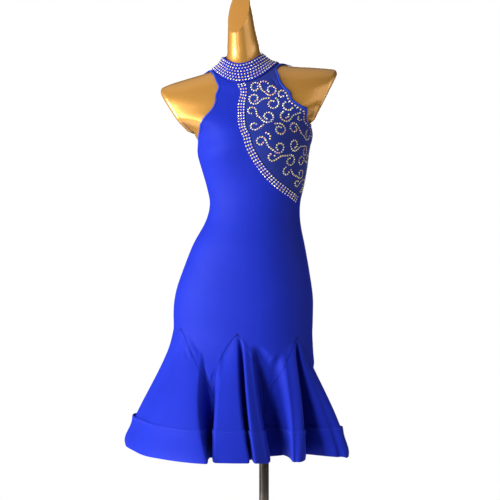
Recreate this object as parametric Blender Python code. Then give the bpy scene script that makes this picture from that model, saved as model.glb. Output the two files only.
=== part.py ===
"""A salsa dance dress worn by a limbless dress form on a pole stand.

Metres, +Z up, the front faces -Y and the wearer's left is +X. The origin is the middle of the base plate's underside.
Angles go round a body from the front centre, positive towards +X. A level names one ring of the body:
below the armpits it is the ring's height, and above them the rings become necklaces that run over the shoulders.
"""

import math
from collections import namedtuple

import bmesh
import bpy
from mathutils import Vector

# Cloth and seams
EASE = 0.0020  # between the body and the cloth's inner face
CLOTH = 0.0012  # wall of the stretch cloth
SEAM_GAP = 0.0003  # between two pieces sewn together
BINDING_WIDTH = 0.0055
BINDING_WALL = 0.0019
BINDING_GAP = 0.0005
COLLAR_WALL = 0.0017
BAND_WALL = 0.0018  # the stiffened hem band
BAND_TALL = 0.058
LAP = CLOTH + SEAM_GAP  # one piece lying over another

FORM_ANGLES = 48  # sides of the form's rings

# Each row is one ring of the body. Yaw turns it about the vertical, roll lifts its +X side, both in degrees,
# front_rise and back_rise lift its front and back centres, and square fills out its four corners.
Ring = namedtuple("Ring", "level x y height half_width front back yaw roll front_rise back_rise square")
BODY = [
    Ring(0.700, -0.0520, 0.005, 0.700, 0.1620, 0.100, 0.108, -7.0, -3.5, 0.000, 0.000, 0.04),
    Ring(0.745, -0.0535, 0.005, 0.745, 0.1685, 0.106, 0.115, -7.0, -3.5, 0.000, 0.000, 0.04),
    Ring(0.800, -0.0530, 0.006, 0.800, 0.1698, 0.110, 0.124, -7.0, -3.5, 0.000, 0.000, 0.04),
    Ring(0.845, -0.0492, 0.006, 0.845, 0.1655, 0.111, 0.126, -6.5, -3.2, 0.000, 0.000, 0.04),
    Ring(0.900, -0.0435, 0.004, 0.900, 0.1522, 0.108, 0.116, -6.0, -2.5, 0.000, 0.000, 0.03),
    Ring(0.959, -0.0365, 0.000, 0.959, 0.1351, 0.102, 0.095, -5.0, -1.8, 0.000, 0.000, 0.02),
    Ring(1.018, -0.0265, -0.003, 1.018, 0.1135, 0.087, 0.074, -3.5, -0.8, 0.000, 0.000, 0.02),
    Ring(1.062, -0.0218, -0.004, 1.062, 0.1081, 0.080, 0.068, -2.0, 0.0, 0.000, 0.000, 0.02),
    Ring(1.106, -0.0205, -0.004, 1.106, 0.1165, 0.083, 0.074, -0.5, 1.2, 0.000, 0.000, 0.02),
    Ring(1.150, -0.0222, -0.003, 1.150, 0.1263, 0.092, 0.083, 0.5, 2.6, 0.000, 0.000, 0.02),
    Ring(1.194, -0.0245, -0.001, 1.190, 0.1340, 0.100, 0.090, 2.0, 4.0, 0.000, 0.000, 0.02),
    Ring(1.222, -0.0215, 0.000, 1.225, 0.1400, 0.100, 0.092, 3.0, 5.5, -0.003, -0.003, 0.00),
    Ring(1.240, -0.0285, 0.000, 1.252, 0.1500, 0.099, 0.093, 3.0, 5.0, -0.012, -0.010, 0.00),
    Ring(1.258, -0.0310, 0.000, 1.276, 0.1900, 0.096, 0.094, 3.0, 5.3, -0.020, -0.016, 0.00),
    Ring(1.276, -0.0330, 0.000, 1.297, 0.2300, 0.092, 0.095, 3.0, 5.6, -0.025, -0.018, 0.00),
    Ring(1.294, -0.0350, 0.000, 1.328, 0.2420, 0.087, 0.094, 3.0, 5.6, -0.040, -0.028, 0.00),
    Ring(1.312, -0.0360, 0.000, 1.354, 0.2400, 0.083, 0.092, 3.0, 5.4, -0.050, -0.032, 0.00),
    Ring(1.330, -0.0360, 0.000, 1.371, 0.2080, 0.080, 0.089, 3.0, 5.2, -0.054, -0.028, 0.00),
    Ring(1.346, -0.0380, 0.000, 1.3805, 0.1640, 0.0775, 0.086, 3.0, 5.0, -0.052, -0.018, 0.00),
    Ring(1.362, -0.0410, 0.000, 1.388, 0.1200, 0.0755, 0.080, 3.0, 4.8, -0.048, -0.003, 0.00),
    Ring(1.378, -0.0460, 0.000, 1.398, 0.0755, 0.0700, 0.0705, 3.0, 5.0, -0.046, 0.017, 0.00),
    Ring(1.392, -0.0485, 0.000, 1.412, 0.0545, 0.056, 0.060, 0.0, 5.0, -0.036, 0.020, 0.00),
    Ring(1.410, -0.0498, 0.000, 1.430, 0.0422, 0.047, 0.051, 0.0, 5.0, -0.026, 0.016, 0.00),
    Ring(1.440, -0.0512, -0.002, 1.452, 0.0392, 0.043, 0.046, 0.0, 4.0, -0.012, 0.012, 0.00),
    Ring(1.475, -0.0545, -0.003, 1.487, 0.0345, 0.039, 0.041, 0.0, 2.0, 0.000, 0.000, 0.00),
    Ring(1.510, -0.0575, -0.004, 1.524, 0.0312, 0.037, 0.039, 0.0, 0.0, 0.000, 0.000, 0.00),
    Ring(1.545, -0.0612, -0.005, 1.560, 0.0280, 0.035, 0.037, 0.0, 0.0, 0.000, 0.000, 0.00),
    Ring(1.590, -0.0635, -0.006, 1.612, 0.0262, 0.034, 0.036, 0.0, 0.0, 0.000, 0.000, 0.00),
]


def hermite(a, b, slope_a, slope_b, span, t):
    """The cubic from a to b with those end slopes, at t from 0 to 1."""
    t2, t3 = t * t, t * t * t
    return (
        (2 * t3 - 3 * t2 + 1) * a + (t3 - 2 * t2 + t) * span * slope_a
        + (3 * t2 - 2 * t3) * b + (t3 - t2) * span * slope_b
    )


def ring_at(level):
    """The body's ring at a level, read smoothly between the table's rows."""
    i = next((k for k in range(len(BODY) - 2) if level < BODY[k + 1].level), len(BODY) - 2)
    before, a, b, after = BODY[max(i - 1, 0)], BODY[i], BODY[i + 1], BODY[min(i + 2, len(BODY) - 1)]
    span = b.level - a.level
    t = (level - a.level) / span
    values = []
    for p, q, r, s in zip(before, a, b, after):
        slope_a = (r - p) / (b.level - before.level)
        slope_b = (s - q) / (after.level - a.level)
        values.append(hermite(q, r, slope_a, slope_b, span, t))
    return Ring(*values)


def body_point(angle, level):
    ring = ring_at(level)
    side, front = math.sin(angle), math.cos(angle)
    swell = 1 + ring.square * math.sin(2 * angle) ** 2
    depth = ring.front if front > 0 else ring.back
    rise = ring.front_rise if front > 0 else ring.back_rise
    x = ring.half_width * side * swell
    y = -depth * front * swell
    z = rise * front * front + x * math.tan(math.radians(ring.roll))
    if front > 0:
        y -= bust(x, ring.height + z)
    yaw = math.radians(ring.yaw)
    return Vector((
        ring.x + x * math.cos(yaw) - y * math.sin(yaw),
        ring.y + x * math.sin(yaw) + y * math.cos(yaw),
        ring.height + z,
    ))


BUST_HEIGHT, BUST_OUT, BUST_APART, BUST_WIDE, BUST_TALL, BUST_BRIDGE = 1.200, 0.017, 0.068, 0.058, 0.050, 0.35


def bust(x, z):
    """How far the bust stands out in front of the chest, bridged in the middle as stretch cloth bridges it."""
    def bell(offset):
        return math.exp(-((x - offset) / BUST_WIDE) ** 2)
    across = bell(-BUST_APART) + bell(BUST_APART) + BUST_BRIDGE * bell(0)
    return BUST_OUT * across * math.exp(-((z - BUST_HEIGHT) / BUST_TALL) ** 2)


# The skirt flares from the body to a wavy hem. Each row is a ridge or a furrow: the height where it starts and
# its angle there, its angle and radius at the hem, how much its hem dips, how many degrees it leans under its
# neighbour at the hem, and how far the band's upper edge stands out on it.
SKIRT_TOP = 0.768
HEM = 0.473
HEM_RADIUS = 0.262
FLARE_END = 1.2  # how much steeper the flare is at the hem than on average
SKIRT_X, SKIRT_Y, SKIRT_YAW = -0.0526, -0.006, -7.0
STACK = 0.0036  # thickness of all the layers at the hem band's top
RIDGE_RADIUS, FURROW_RADIUS = 0.275, 0.215  # hem radii from which a fold counts as a ridge or a full furrow
FURROW_BEGINS = 0.030  # height over which a furrow's cloth moves behind the surface
EASE_FOOT, EASE_TOP = 0.690, 0.745
Fold = namedtuple("Fold", "start start_angle angle radius dip lean lip")
FOLDS = [
    Fold(0.745, -72.0, -82.0, 0.292, 0.000, 0.0, 0.0055),
    Fold(0.680, -52.0, -55.0, 0.277, 0.000, 0.0, 0.0030),
    Fold(0.740, -40.0, -30.0, 0.288, 0.000, 0.0, 0.0015),
    Fold(0.700, -30.7, -5.0, 0.305, 0.000, 4.7, 0.0012),
    Fold(0.645, -22.5, -0.9, 0.205, 0.002, -4.2, 0.0000),
    Fold(0.690, -8.3, 3.3, 0.287, 0.000, -0.6, 0.0012),
    Fold(0.742, 3.6, 13.2, 0.287, 0.000, 4.3, 0.0015),
    Fold(0.742, 6.4, 17.1, 0.224, 0.002, 2.4, 0.0000),
    Fold(0.742, 9.2, 20.9, 0.286, 0.001, 0.0, 0.0012),
    Fold(0.725, 13.5, 26.6, 0.276, 0.003, 0.0, 0.0012),
    Fold(0.725, 20.5, 32.0, 0.180, 0.003, 5.0, 0.0000),
    Fold(0.700, 34.0, 35.8, 0.180, 0.003, 10.0, 0.0000),
    Fold(0.715, 45.5, 39.5, 0.294, 0.000, -1.6, 0.0015),
    Fold(0.742, 55.3, 44.5, 0.300, 0.000, -3.7, 0.0015),
    Fold(0.742, 58.4, 53.0, 0.212, 0.001, 5.0, 0.0000),
    Fold(0.735, 62.3, 60.5, 0.298, 0.000, 2.2, 0.0020),
    Fold(0.705, 72.5, 68.5, 0.318, 0.000, -4.0, 0.0030),
    Fold(0.680, 86.0, 83.0, 0.218, 0.002, 4.0, 0.0000),
    Fold(0.735, 106.0, 98.0, 0.232, 0.000, 0.0, 0.0010),
    Fold(0.738, 120.0, 114.0, 0.206, 0.001, 2.0, 0.0000),
    Fold(0.735, 136.0, 132.0, 0.264, 0.000, 0.0, 0.0015),
    Fold(0.650, 152.0, 148.0, 0.200, 0.002, 3.0, 0.0000),
    Fold(0.740, 170.0, 160.0, 0.296, 0.000, 0.0, 0.0020),
    Fold(0.742, 181.0, 174.0, 0.208, 0.001, 2.0, 0.0000),
    Fold(0.740, 190.0, 188.0, 0.290, 0.000, 0.0, 0.0020),
    Fold(0.640, 212.0, 210.0, 0.202, 0.002, -4.0, 0.0000),
    Fold(0.740, 238.0, 226.0, 0.296, 0.000, 0.0, 0.0025),
    Fold(0.742, 250.0, 240.0, 0.222, 0.001, -2.0, 0.0000),
    Fold(0.740, 259.0, 253.0, 0.288, 0.000, 0.0, 0.0045),
    Fold(0.660, 268.0, 265.0, 0.276, 0.001, 0.0, 0.0055),
]


def fold_at(angle, level):
    """The fold at an angle, easing smoothly from each ridge to the next furrow."""
    down = min(1.0, (SKIRT_TOP - level) / (SKIRT_TOP - HEM))
    ring = [fold._replace(start_angle=fold.start_angle + (fold.angle - fold.start_angle) * down) for fold in FOLDS]
    ring.append(ring[0]._replace(start_angle=ring[0].start_angle + 360))
    degrees = (math.degrees(angle) - ring[0].start_angle) % 360 + ring[0].start_angle
    a, b = next((p, q) for p, q in zip(ring, ring[1:]) if degrees <= q.start_angle)
    t = (degrees - a.start_angle) / (b.start_angle - a.start_angle)
    ease = t * t * (3 - 2 * t)
    return Fold(*(p + (q - p) * ease for p, q in zip(a, b)))


def fold_angles(level):
    """The angle of every ridge and furrow at a level, in radians."""
    down = min(1.0, (SKIRT_TOP - level) / (SKIRT_TOP - HEM))
    return [math.radians(fold.start_angle + (fold.angle - fold.start_angle) * down) for fold in FOLDS]


def within(angle, start):
    return (angle - start) % (2 * math.pi) + start


def surface_point(angle, level):
    """The surface the cloth follows: the body down to the skirt's top, then out to the folds of the hem."""
    if level >= SKIRT_TOP:
        return body_point(angle, level)
    fold = fold_at(angle, level)
    grown = max(0.0, (fold.start - level) / (fold.start - HEM))
    turned = angle + math.radians(SKIRT_YAW + fold.lean * grown)
    outward = Vector((math.sin(turned), -math.cos(turned), 0.0))
    top = body_point(angle, SKIRT_TOP)
    slope_top = (body_point(angle, SKIRT_TOP - 0.02) - top) / 0.02
    hem = Vector((SKIRT_X, SKIRT_Y, HEM - fold.dip)) + outward * HEM_RADIUS
    height = SKIRT_TOP - HEM
    slope_hem = (hem - top) / height * FLARE_END
    t = (SKIRT_TOP - level) / height
    point = Vector(hermite(p, q, r, s, height, t) for p, q, r, s in zip(top, hem, slope_top, slope_hem))
    return point + outward * (fold.radius - HEM_RADIUS) * grown * (1.35 - 0.35 * grown)


def normal_at(angle, level):
    step = 0.002
    around = surface_point(angle + step, level) - surface_point(angle - step, level)
    up = surface_point(angle, level + step) - surface_point(angle, level - step)
    return around.cross(up).normalized()


def sunk(angle, level):
    """How far the layers of cloth sit in from the surface: in a furrow they lie behind it, not in front of it."""
    if level >= SKIRT_TOP:
        return 0.0
    fold = fold_at(angle, level)
    deep = min(1.0, max(0.0, (RIDGE_RADIUS - fold.radius) / (RIDGE_RADIUS - FURROW_RADIUS)))
    begun = min(1.0, max(0.0, (fold.start - level) / FURROW_BEGINS))
    return STACK * deep * begun


def eased(level):
    """The ease of the cloth over the body, which ends where the skirt leaves it."""
    t = min(1.0, max(0.0, (level - EASE_FOOT) / (EASE_TOP - EASE_FOOT)))
    return EASE * t * t * (3 - 2 * t)


def cloth_point(angle, level, out):
    return surface_point(angle, level) + normal_at(angle, level) * (eased(level) + out - sunk(angle, level))


def new_object(name, bm, material):
    mesh = bpy.data.meshes.new(name)
    bmesh.ops.recalc_face_normals(bm, faces=bm.faces)
    bmesh.ops.triangulate(bm, faces=bm.faces, quad_method="SHORT_EDGE")
    bm.to_mesh(mesh)
    bm.free()
    mesh.materials.append(material)
    obj = bpy.data.objects.new(name, mesh)
    bpy.context.scene.collection.objects.link(obj)
    return obj


def material(name, colour, roughness, metallic=0.0):
    mat = bpy.data.materials.new(name)
    mat.use_nodes = True
    shader = mat.node_tree.nodes["Principled BSDF"]
    shader.inputs["Base Color"].default_value = (*colour, 1.0)
    shader.inputs["Roughness"].default_value = roughness
    shader.inputs["Metallic"].default_value = metallic
    mat.diffuse_color = (*colour, 1.0)
    return mat


Cut = namedtuple("Cut", "point normal")
NECK_CUT = Cut((-0.0620, -0.003, 1.546), (-0.40, -0.80, 0.45))
NECK_FOOT = 1.415  # the neck's cut reaches no lower than this
RIGHT_ARM_CUT = Cut((-0.2395, -0.0279, 1.3150), (-0.81, 0.05, -0.58))
LEFT_ARM_CUT = Cut((0.1555, 0.0, 1.3275), (0.930, 0.120, -0.475))
FORM_FOOT = 0.716
FOOT_CUT = Cut((0.0, 0.0, FORM_FOOT), (0.0, 0.0, -1.0))
ARM_LEVEL = 1.240
COVERED, DRAWN_IN = 1.235, 0.0016  # below this level the form sits back under the cloth
SET_BACK = 0.0006


def cut_flat(bm, cut, part=None):
    """Cuts off what lies beyond a plane and closes the body with a flat face."""
    verts = set(bm.verts) if part is None else set(part)
    geometry = list(verts)
    geometry += [edge for edge in bm.edges if verts.issuperset(edge.verts)]
    geometry += [face for face in bm.faces if verts.issuperset(face.verts)]
    result = bmesh.ops.bisect_plane(
        bm, geom=geometry, plane_co=cut.point, plane_no=Vector(cut.normal).normalized(), clear_outer=True, dist=1e-5
    )
    rim = [item for item in result["geom_cut"] if isinstance(item, bmesh.types.BMEdge)]
    bmesh.ops.contextual_create(bm, geom=rim)


def form_point(angle, level):
    """A point of the dress form, which sits back a little from the cloth where the cloth covers it all round."""
    covered = min(1.0, max(0.0, (COVERED - level) / 0.02))
    return body_point(angle, level) - body_normal(angle, level) * (SET_BACK + DRAWN_IN * covered)


def body_normal(angle, level):
    step = 0.002
    around = body_point(angle + step, level) - body_point(angle - step, level)
    up = body_point(angle, level + step) - body_point(angle, level - step)
    return around.cross(up).normalized()


def form_levels():
    levels = []
    for a, b in zip(BODY, BODY[1:]):
        steps = max(1, round((b.level - a.level) / 0.030))
        levels += [a.level + (b.level - a.level) * k / steps for k in range(steps)]
    return levels + [BODY[-1].level]


def form_body(mat):
    bm = bmesh.new()
    levels = form_levels()
    rings = []
    for level in levels:
        rings.append([bm.verts.new(form_point(2 * math.pi * k / FORM_ANGLES, level)) for k in range(FORM_ANGLES)])
    for low, high in zip(rings, rings[1:]):
        for k in range(FORM_ANGLES):
            m = (k + 1) % FORM_ANGLES
            bm.faces.new((low[k], low[m], high[m], high[k]))
    bm.faces.new(rings[0][::-1])
    bm.faces.new(rings[-1])
    arms = [vert for level, ring in zip(levels, rings) if level > ARM_LEVEL - 0.001 for vert in ring]
    cut_flat(bm, RIGHT_ARM_CUT, [vert for vert in arms if vert.co.x < -0.06])
    cut_flat(bm, LEFT_ARM_CUT, [vert for vert in arms if vert.is_valid and vert.co.x > 0.0])
    cut_flat(bm, NECK_CUT, [vert for vert in bm.verts if vert.co.z > NECK_FOOT])
    cut_flat(bm, FOOT_CUT)
    return new_object("dress_form", bm, mat)


def shell(name, nodes, faces, mat, inner=0.0, outer=CLOTH):
    """A sheet of cloth: its nodes are (angle, level) pairs, doubled into an inner and an outer face with a rim."""
    outside = [cloth_point(angle, level, outer) for angle, level in nodes]
    inside = [cloth_point(angle, level, inner) for angle, level in nodes]
    return doubled(name, outside, inside, faces, mat)


def doubled(name, outside, inside, faces, mat):
    bm = bmesh.new()
    outer = [bm.verts.new(point) for point in outside]
    inner = [bm.verts.new(point) for point in inside]
    edges = set()
    for face in faces:
        bm.faces.new([outer[k] for k in face])
        bm.faces.new([inner[k] for k in reversed(face)])
        edges.update(zip(face, face[1:] + face[:1]))
    for a, b in sorted(edges):
        if (b, a) not in edges:
            bm.faces.new((outer[b], outer[a], inner[a], inner[b]))
    return new_object(name, bm, mat)


class Sheet:
    """Gathers the nodes and faces of one cut piece, sharing the nodes that are equal."""

    def __init__(self):
        self.nodes, self.faces, self.known = [], [], {}

    def node(self, angle, level):
        key = (round(angle, 5), round(level, 5))
        if key not in self.known:
            self.known[key] = len(self.nodes)
            self.nodes.append((angle, level))
        return self.known[key]

    def face(self, corners):
        ring = [self.node(*corner) for corner in corners]
        ring = [k for i, k in enumerate(ring) if k != ring[i - 1]]
        if len(ring) > 2:
            self.faces.append(tuple(ring))

    def strip(self, low, high):
        """Joins two rows of nodes. The lower one may have twice the columns of the upper."""
        if len(low) == len(high):
            for c in range(len(low) - 1):
                self.face((low[c], low[c + 1], high[c + 1], high[c]))
        else:
            for c in range(len(high) - 1):
                self.face((low[2 * c], low[2 * c + 1], high[c]))
                self.face((low[2 * c + 1], low[2 * c + 2], high[c + 1], high[c]))


def across(left, right, shares):
    return [(left[0] + (right[0] - left[0]) * u, left[1] + (right[1] - left[1]) * u) for u in shares]


def even(count):
    return [k / count for k in range(count + 1)]


def moved(node, before, after, distance):
    """Moves a node of a seam line along the cloth, square to the line and to its right."""
    angle, level = node
    step = 0.001
    per_angle = (surface_point(angle + step, level) - surface_point(angle - step, level)) / (2 * step)
    per_level = (surface_point(angle, level + step) - surface_point(angle, level - step)) / (2 * step)
    along = surface_point(*after) - surface_point(*before)
    square = along.cross(per_angle.cross(per_level)).normalized() * distance
    aa, ab, bb = per_angle.dot(per_angle), per_angle.dot(per_level), per_level.dot(per_level)
    qa, qb = per_angle.dot(square), per_level.dot(square)
    det = aa * bb - ab * ab
    return angle + (qa * bb - qb * ab) / det, level + (qb * aa - qa * ab) / det


def moved_line(line, distance, closed=False):
    last = len(line) - 1
    result = []
    for k, node in enumerate(line):
        before = line[k - 1] if closed or k else node
        after = line[(k + 1) % len(line)] if closed or k < last else node
        result.append(moved(node, before, after, distance))
    return result


# The openings and seams of the upper part, read at fixed levels. Angles in degrees.
ArmRow = namedtuple("ArmRow", "level right_front left_front right_back left_back")
ARMHOLES = [
    ArmRow(1.2050, -90.0, 90.0, -90.0, 90.0),
    ArmRow(1.2160, -79.0, 82.0, -98.0, 98.0),
    ArmRow(1.2280, -69.0, 75.0, -107.0, 107.0),
    ArmRow(1.2400, -55.0, 63.0, -119.0, 119.0),
    ArmRow(1.2520, -42.5, 51.0, -130.0, 130.0),
    ArmRow(1.2650, -32.8, 42.5, -137.0, 137.0),
    ArmRow(1.2800, -25.2, 32.2, -141.0, 141.0),
    ArmRow(1.2980, -20.0, 26.2, -142.0, 142.0),
    ArmRow(1.3150, -18.8, 26.0, -140.0, 140.0),
    ArmRow(1.3350, -22.6, 27.4, -134.0, 134.0),
    ArmRow(1.3510, -26.5, 33.4, -122.0, 122.0),
    ArmRow(1.3585, -30.8, 38.8, -113.0, 113.0),
    ArmRow(1.3645, -38.5, 45.0, -104.0, 104.0),
    ArmRow(1.3690, -47.0, 51.0, -94.0, 94.0),
    ArmRow(1.3715, -55.5, 57.0, -83.0, 82.5),
    ArmRow(1.3722, -63.5, 64.5, -72.0, 72.0),
]
SIDE_SEAM, SHOULDER_SEAM, BACK_SEAM = 90.0, 67.0, 180.0
COLLAR_SEAM = 1.3755
InsetRow = namedtuple("InsetRow", "level angle")
INSET_SEAM = [
    InsetRow(1.0700, 89.9), InsetRow(1.0760, 78.0), InsetRow(1.0840, 65.0), InsetRow(1.0920, 53.8),
    InsetRow(1.1010, 43.7), InsetRow(1.1160, 31.4), InsetRow(1.1360, 20.9), InsetRow(1.1600, 12.9),
    InsetRow(1.1850, 7.2), InsetRow(1.2050, 2.0), InsetRow(1.2160, -0.4), InsetRow(1.2280, -1.8),
    InsetRow(1.2400, -2.0), InsetRow(1.2520, -1.8), InsetRow(1.2650, -1.4), InsetRow(1.2800, -1.1),
    InsetRow(1.2980, -0.7), InsetRow(1.3150, -0.2), InsetRow(1.3350, 0.8), InsetRow(1.3510, 2.0),
    InsetRow(1.3585, 2.6), InsetRow(1.3645, 3.2), InsetRow(1.3690, 3.6), InsetRow(1.3715, 3.8),
    InsetRow(1.3722, 3.9), InsetRow(COLLAR_SEAM, 4.0),
]
SIDE_ROWS = 9  # rows of the inset's seam below the armhole
LOW_LEVELS = [0.750, SKIRT_TOP, 0.790, 0.815, 0.845, 0.875]
HIP_LEVELS = [0.905, 0.935, 0.965, 0.995, 1.020, 1.045]

# The points of plain cloth between the godets. A godet's top is the apex where two points part. Powers bend the
# edges of a point towards its tip, and below it the two godets' seam runs into a furrow, a row of FOLDS.
APEX = LOW_LEVELS[0]
Tongue = namedtuple("Tongue", "right_apex left_apex tip tip_level right_power left_power furrow")
TONGUES = [
    Tongue(-110.0, -49.0, -92.0, 0.605, 2.0, 2.0, 29),
    Tongue(-49.0, 6.0, -9.5, 0.600, 1.3, 3.2, 4),
    Tongue(6.0, 58.0, 29.0, 0.565, 2.4, 1.5, 10),
    Tongue(58.0, 120.0, 86.0, 0.600, 2.0, 2.0, 17),
    Tongue(120.0, 180.0, 148.5, 0.585, 1.6, 1.8, 21),
    Tongue(-180.0, -110.0, -148.5, 0.590, 1.8, 1.6, 25),
]
TIP_HALF = 0.25
TONGUE_SHARES = [1.0, 0.75, 0.50, 0.28, 0.12, 0.014, 0.0]  # of the way down from the apex
GODET_FOOT = HEM + BAND_TALL - 0.0015
HALF_GAP = SEAM_GAP / 2


def tongue_lines(tongue):
    """The two edges of a point of plain cloth as lines of nodes going up from its tip."""
    right, left = [], []
    for down in TONGUE_SHARES:
        level = APEX + (tongue.tip_level - APEX) * down
        start, end = tongue.tip - TIP_HALF, tongue.tip + TIP_HALF
        right.append((math.radians(start + (tongue.right_apex - start) * (1 - down) ** tongue.right_power), level))
        left.append((math.radians(end + (tongue.left_apex - end) * (1 - down) ** tongue.left_power), level))
    return right, left


def foot_line(tongue):
    """The seam of two godets below a point's tip, going up."""
    levels = [GODET_FOOT, (GODET_FOOT + tongue.tip_level) / 2, tongue.tip_level - 0.004]
    tip = math.radians(tongue.tip)
    foot = within(fold_angles(GODET_FOOT)[tongue.furrow], tip - math.pi)
    drop = tongue.tip_level - GODET_FOOT
    return [(foot + (tip - foot) * (level - GODET_FOOT) / drop, level) for level in levels]


def add_tongue(sheet, tongue, columns, seam=None, after_seam=True):
    """Adds a point of plain cloth, or only its part before or after a lengthwise seam, and returns its top row."""
    right, left = tongue_lines(tongue)
    right_edge, left_edge = moved_line(right, HALF_GAP), moved_line(left, -HALF_GAP)
    right_edge[-1], left_edge[-1] = right[-1], left[-1]
    if tongue.left_apex == BACK_SEAM:
        left_edge[-1] = stepped(left[-1], -HALF_GAP)
    if tongue.right_apex == -BACK_SEAM:
        right_edge[-1] = stepped(right[-1], HALF_GAP)
    if seam is not None:
        share = (seam - tongue.right_apex) / (tongue.left_apex - tongue.right_apex)
        middle = [across(a, b, [share])[0] for a, b in zip(right, left)]
        if after_seam:
            right_edge = [stepped(node, HALF_GAP) for node in middle]
        else:
            left_edge = [stepped(node, -HALF_GAP) for node in middle]
    rows = [across(a, b, even(columns)) for a, b in zip(right_edge, left_edge)]
    for low, high in zip(rows, rows[1:]):
        sheet.strip(low, high)
    return rows[-1]


def stepped(node, distance):
    """Moves a node round the body at its level."""
    per_angle = (surface_point(node[0] + 0.001, node[1]) - surface_point(node[0] - 0.001, node[1])) / 0.002
    return node[0] + distance / per_angle.length, node[1]


def upright(angle, levels, distance):
    """A seam that runs straight up the body, moved aside by a distance."""
    return [stepped((math.radians(angle), level), distance) for level in levels]


def armhole_loop(side):
    """The edge of an armhole: up the front, over the shoulder and down the back."""
    front = [(row.left_front if side > 0 else row.right_front, row.level) for row in ARMHOLES]
    back = [(row.left_back if side > 0 else row.right_back, row.level) for row in ARMHOLES[1:]]
    return [(math.radians(angle), level) for angle, level in front + back[::-1]]


def armhole_edges(side):
    """The front and the back panel's edges along the binding, both going up from the side seam."""
    inside = moved_line(armhole_loop(side), -side * (BINDING_WIDTH + BINDING_GAP), closed=True)
    count = len(ARMHOLES)
    side_node = inside[0]
    front = [stepped(side_node, -side * HALF_GAP)] + inside[1:count]
    back = [stepped(side_node, side * HALF_GAP)] + inside[:count - 1:-1]
    return front, back


SIDE_LEVELS = HIP_LEVELS + [row.level for row in INSET_SEAM[:SIDE_ROWS]]


def panel(sheet, low_row, right, left):
    """Fills a panel above its points: rows of fixed angles, then half as many columns between two lines."""
    rows = [[(angle, level) for angle, _ in low_row] for level in LOW_LEVELS]
    columns = (len(low_row) - 1) // 2
    rows += [across(a, b, even(columns)) for a, b in zip(right, left)]
    for low, high in zip(rows, rows[1:]):
        sheet.strip(low, high)


def front_main(mat):
    sheet = Sheet()
    low = add_tongue(sheet, TONGUES[0], 4, seam=-SIDE_SEAM)
    low += add_tongue(sheet, TONGUES[1], 8)[1:]
    low += add_tongue(sheet, TONGUES[2], 8)[1:]
    low += add_tongue(sheet, TONGUES[3], 4, seam=SIDE_SEAM, after_seam=False)[1:]
    right = upright(-SIDE_SEAM, SIDE_LEVELS, HALF_GAP) + armhole_edges(-1)[0]
    right += upright(-SHOULDER_SEAM, [COLLAR_SEAM], HALF_GAP)
    seam = [(math.radians(row.angle), row.level) for row in INSET_SEAM]
    left = upright(SIDE_SEAM, HIP_LEVELS, -HALF_GAP) + moved_line(seam, -HALF_GAP)
    left[-1] = stepped(seam[-1], -HALF_GAP)
    panel(sheet, low, right, left)
    return shell("front_main", sheet.nodes, sheet.faces, mat)


def front_inset(mat):
    seam = [(math.radians(row.angle), row.level) for row in INSET_SEAM]
    right = moved_line(seam, HALF_GAP)[1:]
    right[-1] = stepped(seam[-1], HALF_GAP)
    left = upright(SIDE_SEAM, [row.level for row in INSET_SEAM[1:SIDE_ROWS]], -HALF_GAP) + armhole_edges(1)[0]
    left += upright(SHOULDER_SEAM, [COLLAR_SEAM], -HALF_GAP)
    sheet = Sheet()
    rows = [across(a, b, even(8)) for a, b in zip(right, left)]
    corner = stepped((math.radians(SIDE_SEAM), INSET_SEAM[0].level + 0.0012), -HALF_GAP)
    rows.insert(0, [corner] * 9)
    for low, high in zip(rows, rows[1:]):
        sheet.strip(low, high)
    return shell("front_inset", sheet.nodes, sheet.faces, mat)


def back_panel(name, side, mat):
    sheet = Sheet()
    upper_levels = SIDE_LEVELS + [row.level for row in ARMHOLES] + [COLLAR_SEAM]
    centre = upright(side * BACK_SEAM, upper_levels, -side * HALF_GAP)
    outer = upright(side * SIDE_SEAM, SIDE_LEVELS, side * HALF_GAP) + armhole_edges(side)[1]
    outer += upright(side * SHOULDER_SEAM, [COLLAR_SEAM], side * HALF_GAP)
    if side > 0:
        low = add_tongue(sheet, TONGUES[3], 4, seam=SIDE_SEAM)
        low += add_tongue(sheet, TONGUES[4], 8)[1:]
        panel(sheet, low, outer, centre)
    else:
        low = add_tongue(sheet, TONGUES[5], 8)
        low += add_tongue(sheet, TONGUES[0], 4, seam=-SIDE_SEAM, after_seam=False)[1:]
        panel(sheet, low, centre, outer)
    return shell(name, sheet.nodes, sheet.faces, mat)


FOLD_COLUMNS = 3  # columns of faces from a ridge to the next furrow


def godet(name, before, after, mat):
    """A flared insert between two points of plain cloth, its columns following the ridges and furrows."""
    lines = []
    for tongue, distance in ((before, HALF_GAP), (after, -HALF_GAP)):
        right, left = tongue_lines(tongue)
        edge = moved_line(left if tongue is before else right, distance)
        lines.append(moved_line(foot_line(tongue), distance) + edge[:-1])
    turn = 2 * math.pi if after.tip < before.tip else 0.0
    right, left = lines[0], [(angle + turn, level) for angle, level in lines[1]]
    start, end = right[0][0], left[0][0]
    at_foot = fold_angles(GODET_FOOT)
    inner = [k for k, angle in enumerate(at_foot) if start + 0.04 < within(angle, start) < end - 0.04]
    inner.sort(key=lambda k: within(at_foot[k], start))
    rows = []
    for a, b in zip(right, left):
        here = fold_angles((a[1] + b[1]) / 2)
        marks = [0.0]
        for k in inner:
            foot_share = (within(at_foot[k], start) - start) / (end - start)
            share = (within(here[k], a[0] - 1.0) - a[0]) / (b[0] - a[0])
            marks.append(min(max(share, 0.6 * foot_share), 1 - 0.6 * (1 - foot_share)))
        marks.append(1.0)
        shares = [p + (q - p) * k / FOLD_COLUMNS for p, q in zip(marks, marks[1:]) for k in range(FOLD_COLUMNS)]
        rows.append(across(a, b, shares + [1.0]))
    sheet = Sheet()
    for low, high in zip(rows, rows[1:]):
        sheet.strip(low, high)
    return shell(name, sheet.nodes, sheet.faces, mat)


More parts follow.
